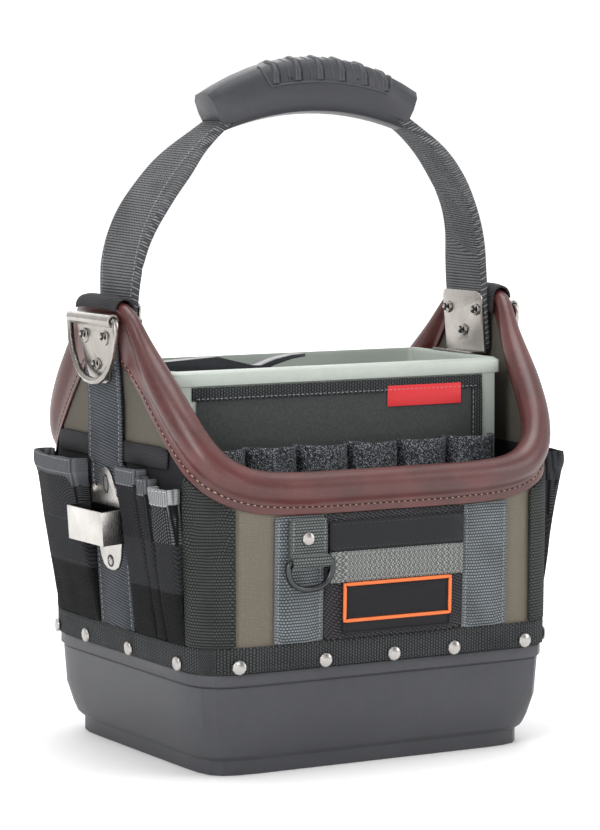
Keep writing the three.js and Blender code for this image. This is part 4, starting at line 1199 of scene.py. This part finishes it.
def clip_details():
    """The bare oval on the clip's bell, the rivets beside it and the slotted rivet in its tongue."""
    bell, ear, ear_y, tongue = 0.1935, 0.1885, 0.019, 0.1385
    skin = skin_of(NODES["tape_clip"])
    place, normal = hit(skin, (-FAR, 0, bell), LEFT)
    collar_ring("clip_oval", place, normal, 0.0036, 0.0005, GUNMETAL, 1.7)
    for tag, y in (("front", -ear_y), ("back", ear_y)):
        place, normal = hit(skin, (-FAR, y, ear), LEFT)
        button("clip_ear_rivet_" + tag, place, normal, 0.0034, 0.0012, NICKEL, "nickel")
    place, normal = hit(skin, (-FAR, 0, tongue), LEFT)
    collar_ring("clip_tongue_rivet_collar", place, normal, 0.0038, 0.0007, GUNMETAL)
    button("clip_tongue_rivet", place, normal, 0.0033, 0.0011, CAP, "nickel")
    # the slot is a near-black disc, painted shade
    button("clip_tongue_slot", place + normal * 0.0008, normal, 0.0008, 0.0004, RECESS_SHADE, "nickel")


def back_rivets():
    half_length, height = 0.143, 0.078
    skin = skin_of(pieces["band"])
    for i, share in enumerate((-0.815, -0.35, 0.035, 0.38, 0.8)):
        place, normal = hit(skin, (share * half_length, FAR, height), BACK)
        button("band_rivet_back_%d" % (i + 1), place, normal, 0.0055, 0.0024, CAP, "nickel")


# ---------------------------- grip relief

GRIP_RIDGES = (-0.0337, -0.016, 0.002, 0.0199, 0.0385, 0.0563)
GRIP_FIELD = (-0.0437, 0.0638)
GRIP_HALF = 0.0865
GRIP_CENTRE_TOP = 0.472
GRIP_BOW = 0.019
GRIP_Y = -0.0135
FIELD_CORNER = 0.006
FIELD_FOOT = 8


def spoke(skin, x, turn):
    """Where a spoke from the grip's bowed centreline leaves it. turn 0 is the front, 90 the top."""
    a = radians(turn)
    way = Vector((0, cos(a), -sin(a)))
    t = x / GRIP_HALF
    middle = Vector((x, GRIP_Y, GRIP_CENTRE_TOP - GRIP_BOW * t * t))
    return hit(skin, middle - way * 0.06, way, 0.1)


def grip_relief():
    """Ridges with grooves painted as dark lines of shade and fine lines between, inside a raised field,
    and two pinholes painted dark as shade.
    """
    skin = skin_of(NODES["handle_grip"])

    def bead(name, places, radius, material, slot_name, sides, sink):
        path = met(spoke(skin, x, turn) for x, turn in places)
        piping(name, path, radius, material, slot_name, sides, sink=sink)

    turns = range(14, 168, 7)
    for i, x in enumerate(GRIP_RIDGES, 1):
        wavy = [(x + 0.0005 * sin(radians(t)), t) for t in turns]
        groove = [(x + 0.0034, t) for t in turns]
        between = [(x + 0.0105, t) for t in turns]
        bead("grip_ridge_%d" % i, wavy, 0.0030, GRIP, "charcoal_plastic", 12, 0.74)
        # each groove is a thin near-black bead, painted shade
        bead("grip_groove_%d" % i, groove, 0.00042, RECESS_SHADE, "black_plastic", 6, 0.6)
        if i < len(GRIP_RIDGES):
            bead("grip_line_%d" % i, between, 0.0006, GRIP, "charcoal_plastic", 6, 0.6)

    def curl(turn):
        """How far a field corner has curved in at a turn."""
        return FIELD_CORNER * (1 - sin(radians((turn - FIELD_FOOT) / 62 * 90)))

    x0, x1 = GRIP_FIELD
    field = [(x0 + curl(t), t) for t in range(70, FIELD_FOOT, -6)]
    field += [(x0 + FIELD_CORNER + (x1 - x0 - 2 * FIELD_CORNER) * k / 40, FIELD_FOOT) for k in range(41)]
    field += [(x1 - curl(t), t) for t in range(14, 76, 6)]
    bead("grip_field_bead", field, 0.0009, GRIP, "charcoal_plastic", 8, 0.45)
    for i, (x, turn) in enumerate(((-0.0208, 20), (0.0333, 24))):
        place, normal = spoke(skin, x, turn)
        # each pinhole is a near-black disc, painted shade
        button("grip_pinhole_%d" % (i + 1), place, normal, 0.0009, 0.0002, RECESS_SHADE, "black_plastic")


# ---------------------------- the part

set_camera()
set_lights()
set_floor()
hard_pieces()
soft_pieces()
rim_seam()
front_seams()
badge_frame()
band_seams()
side_seams()
handle_seams()
felt_trim()
plate_rivets()
clip_details()
back_rivets()
grip_relief()
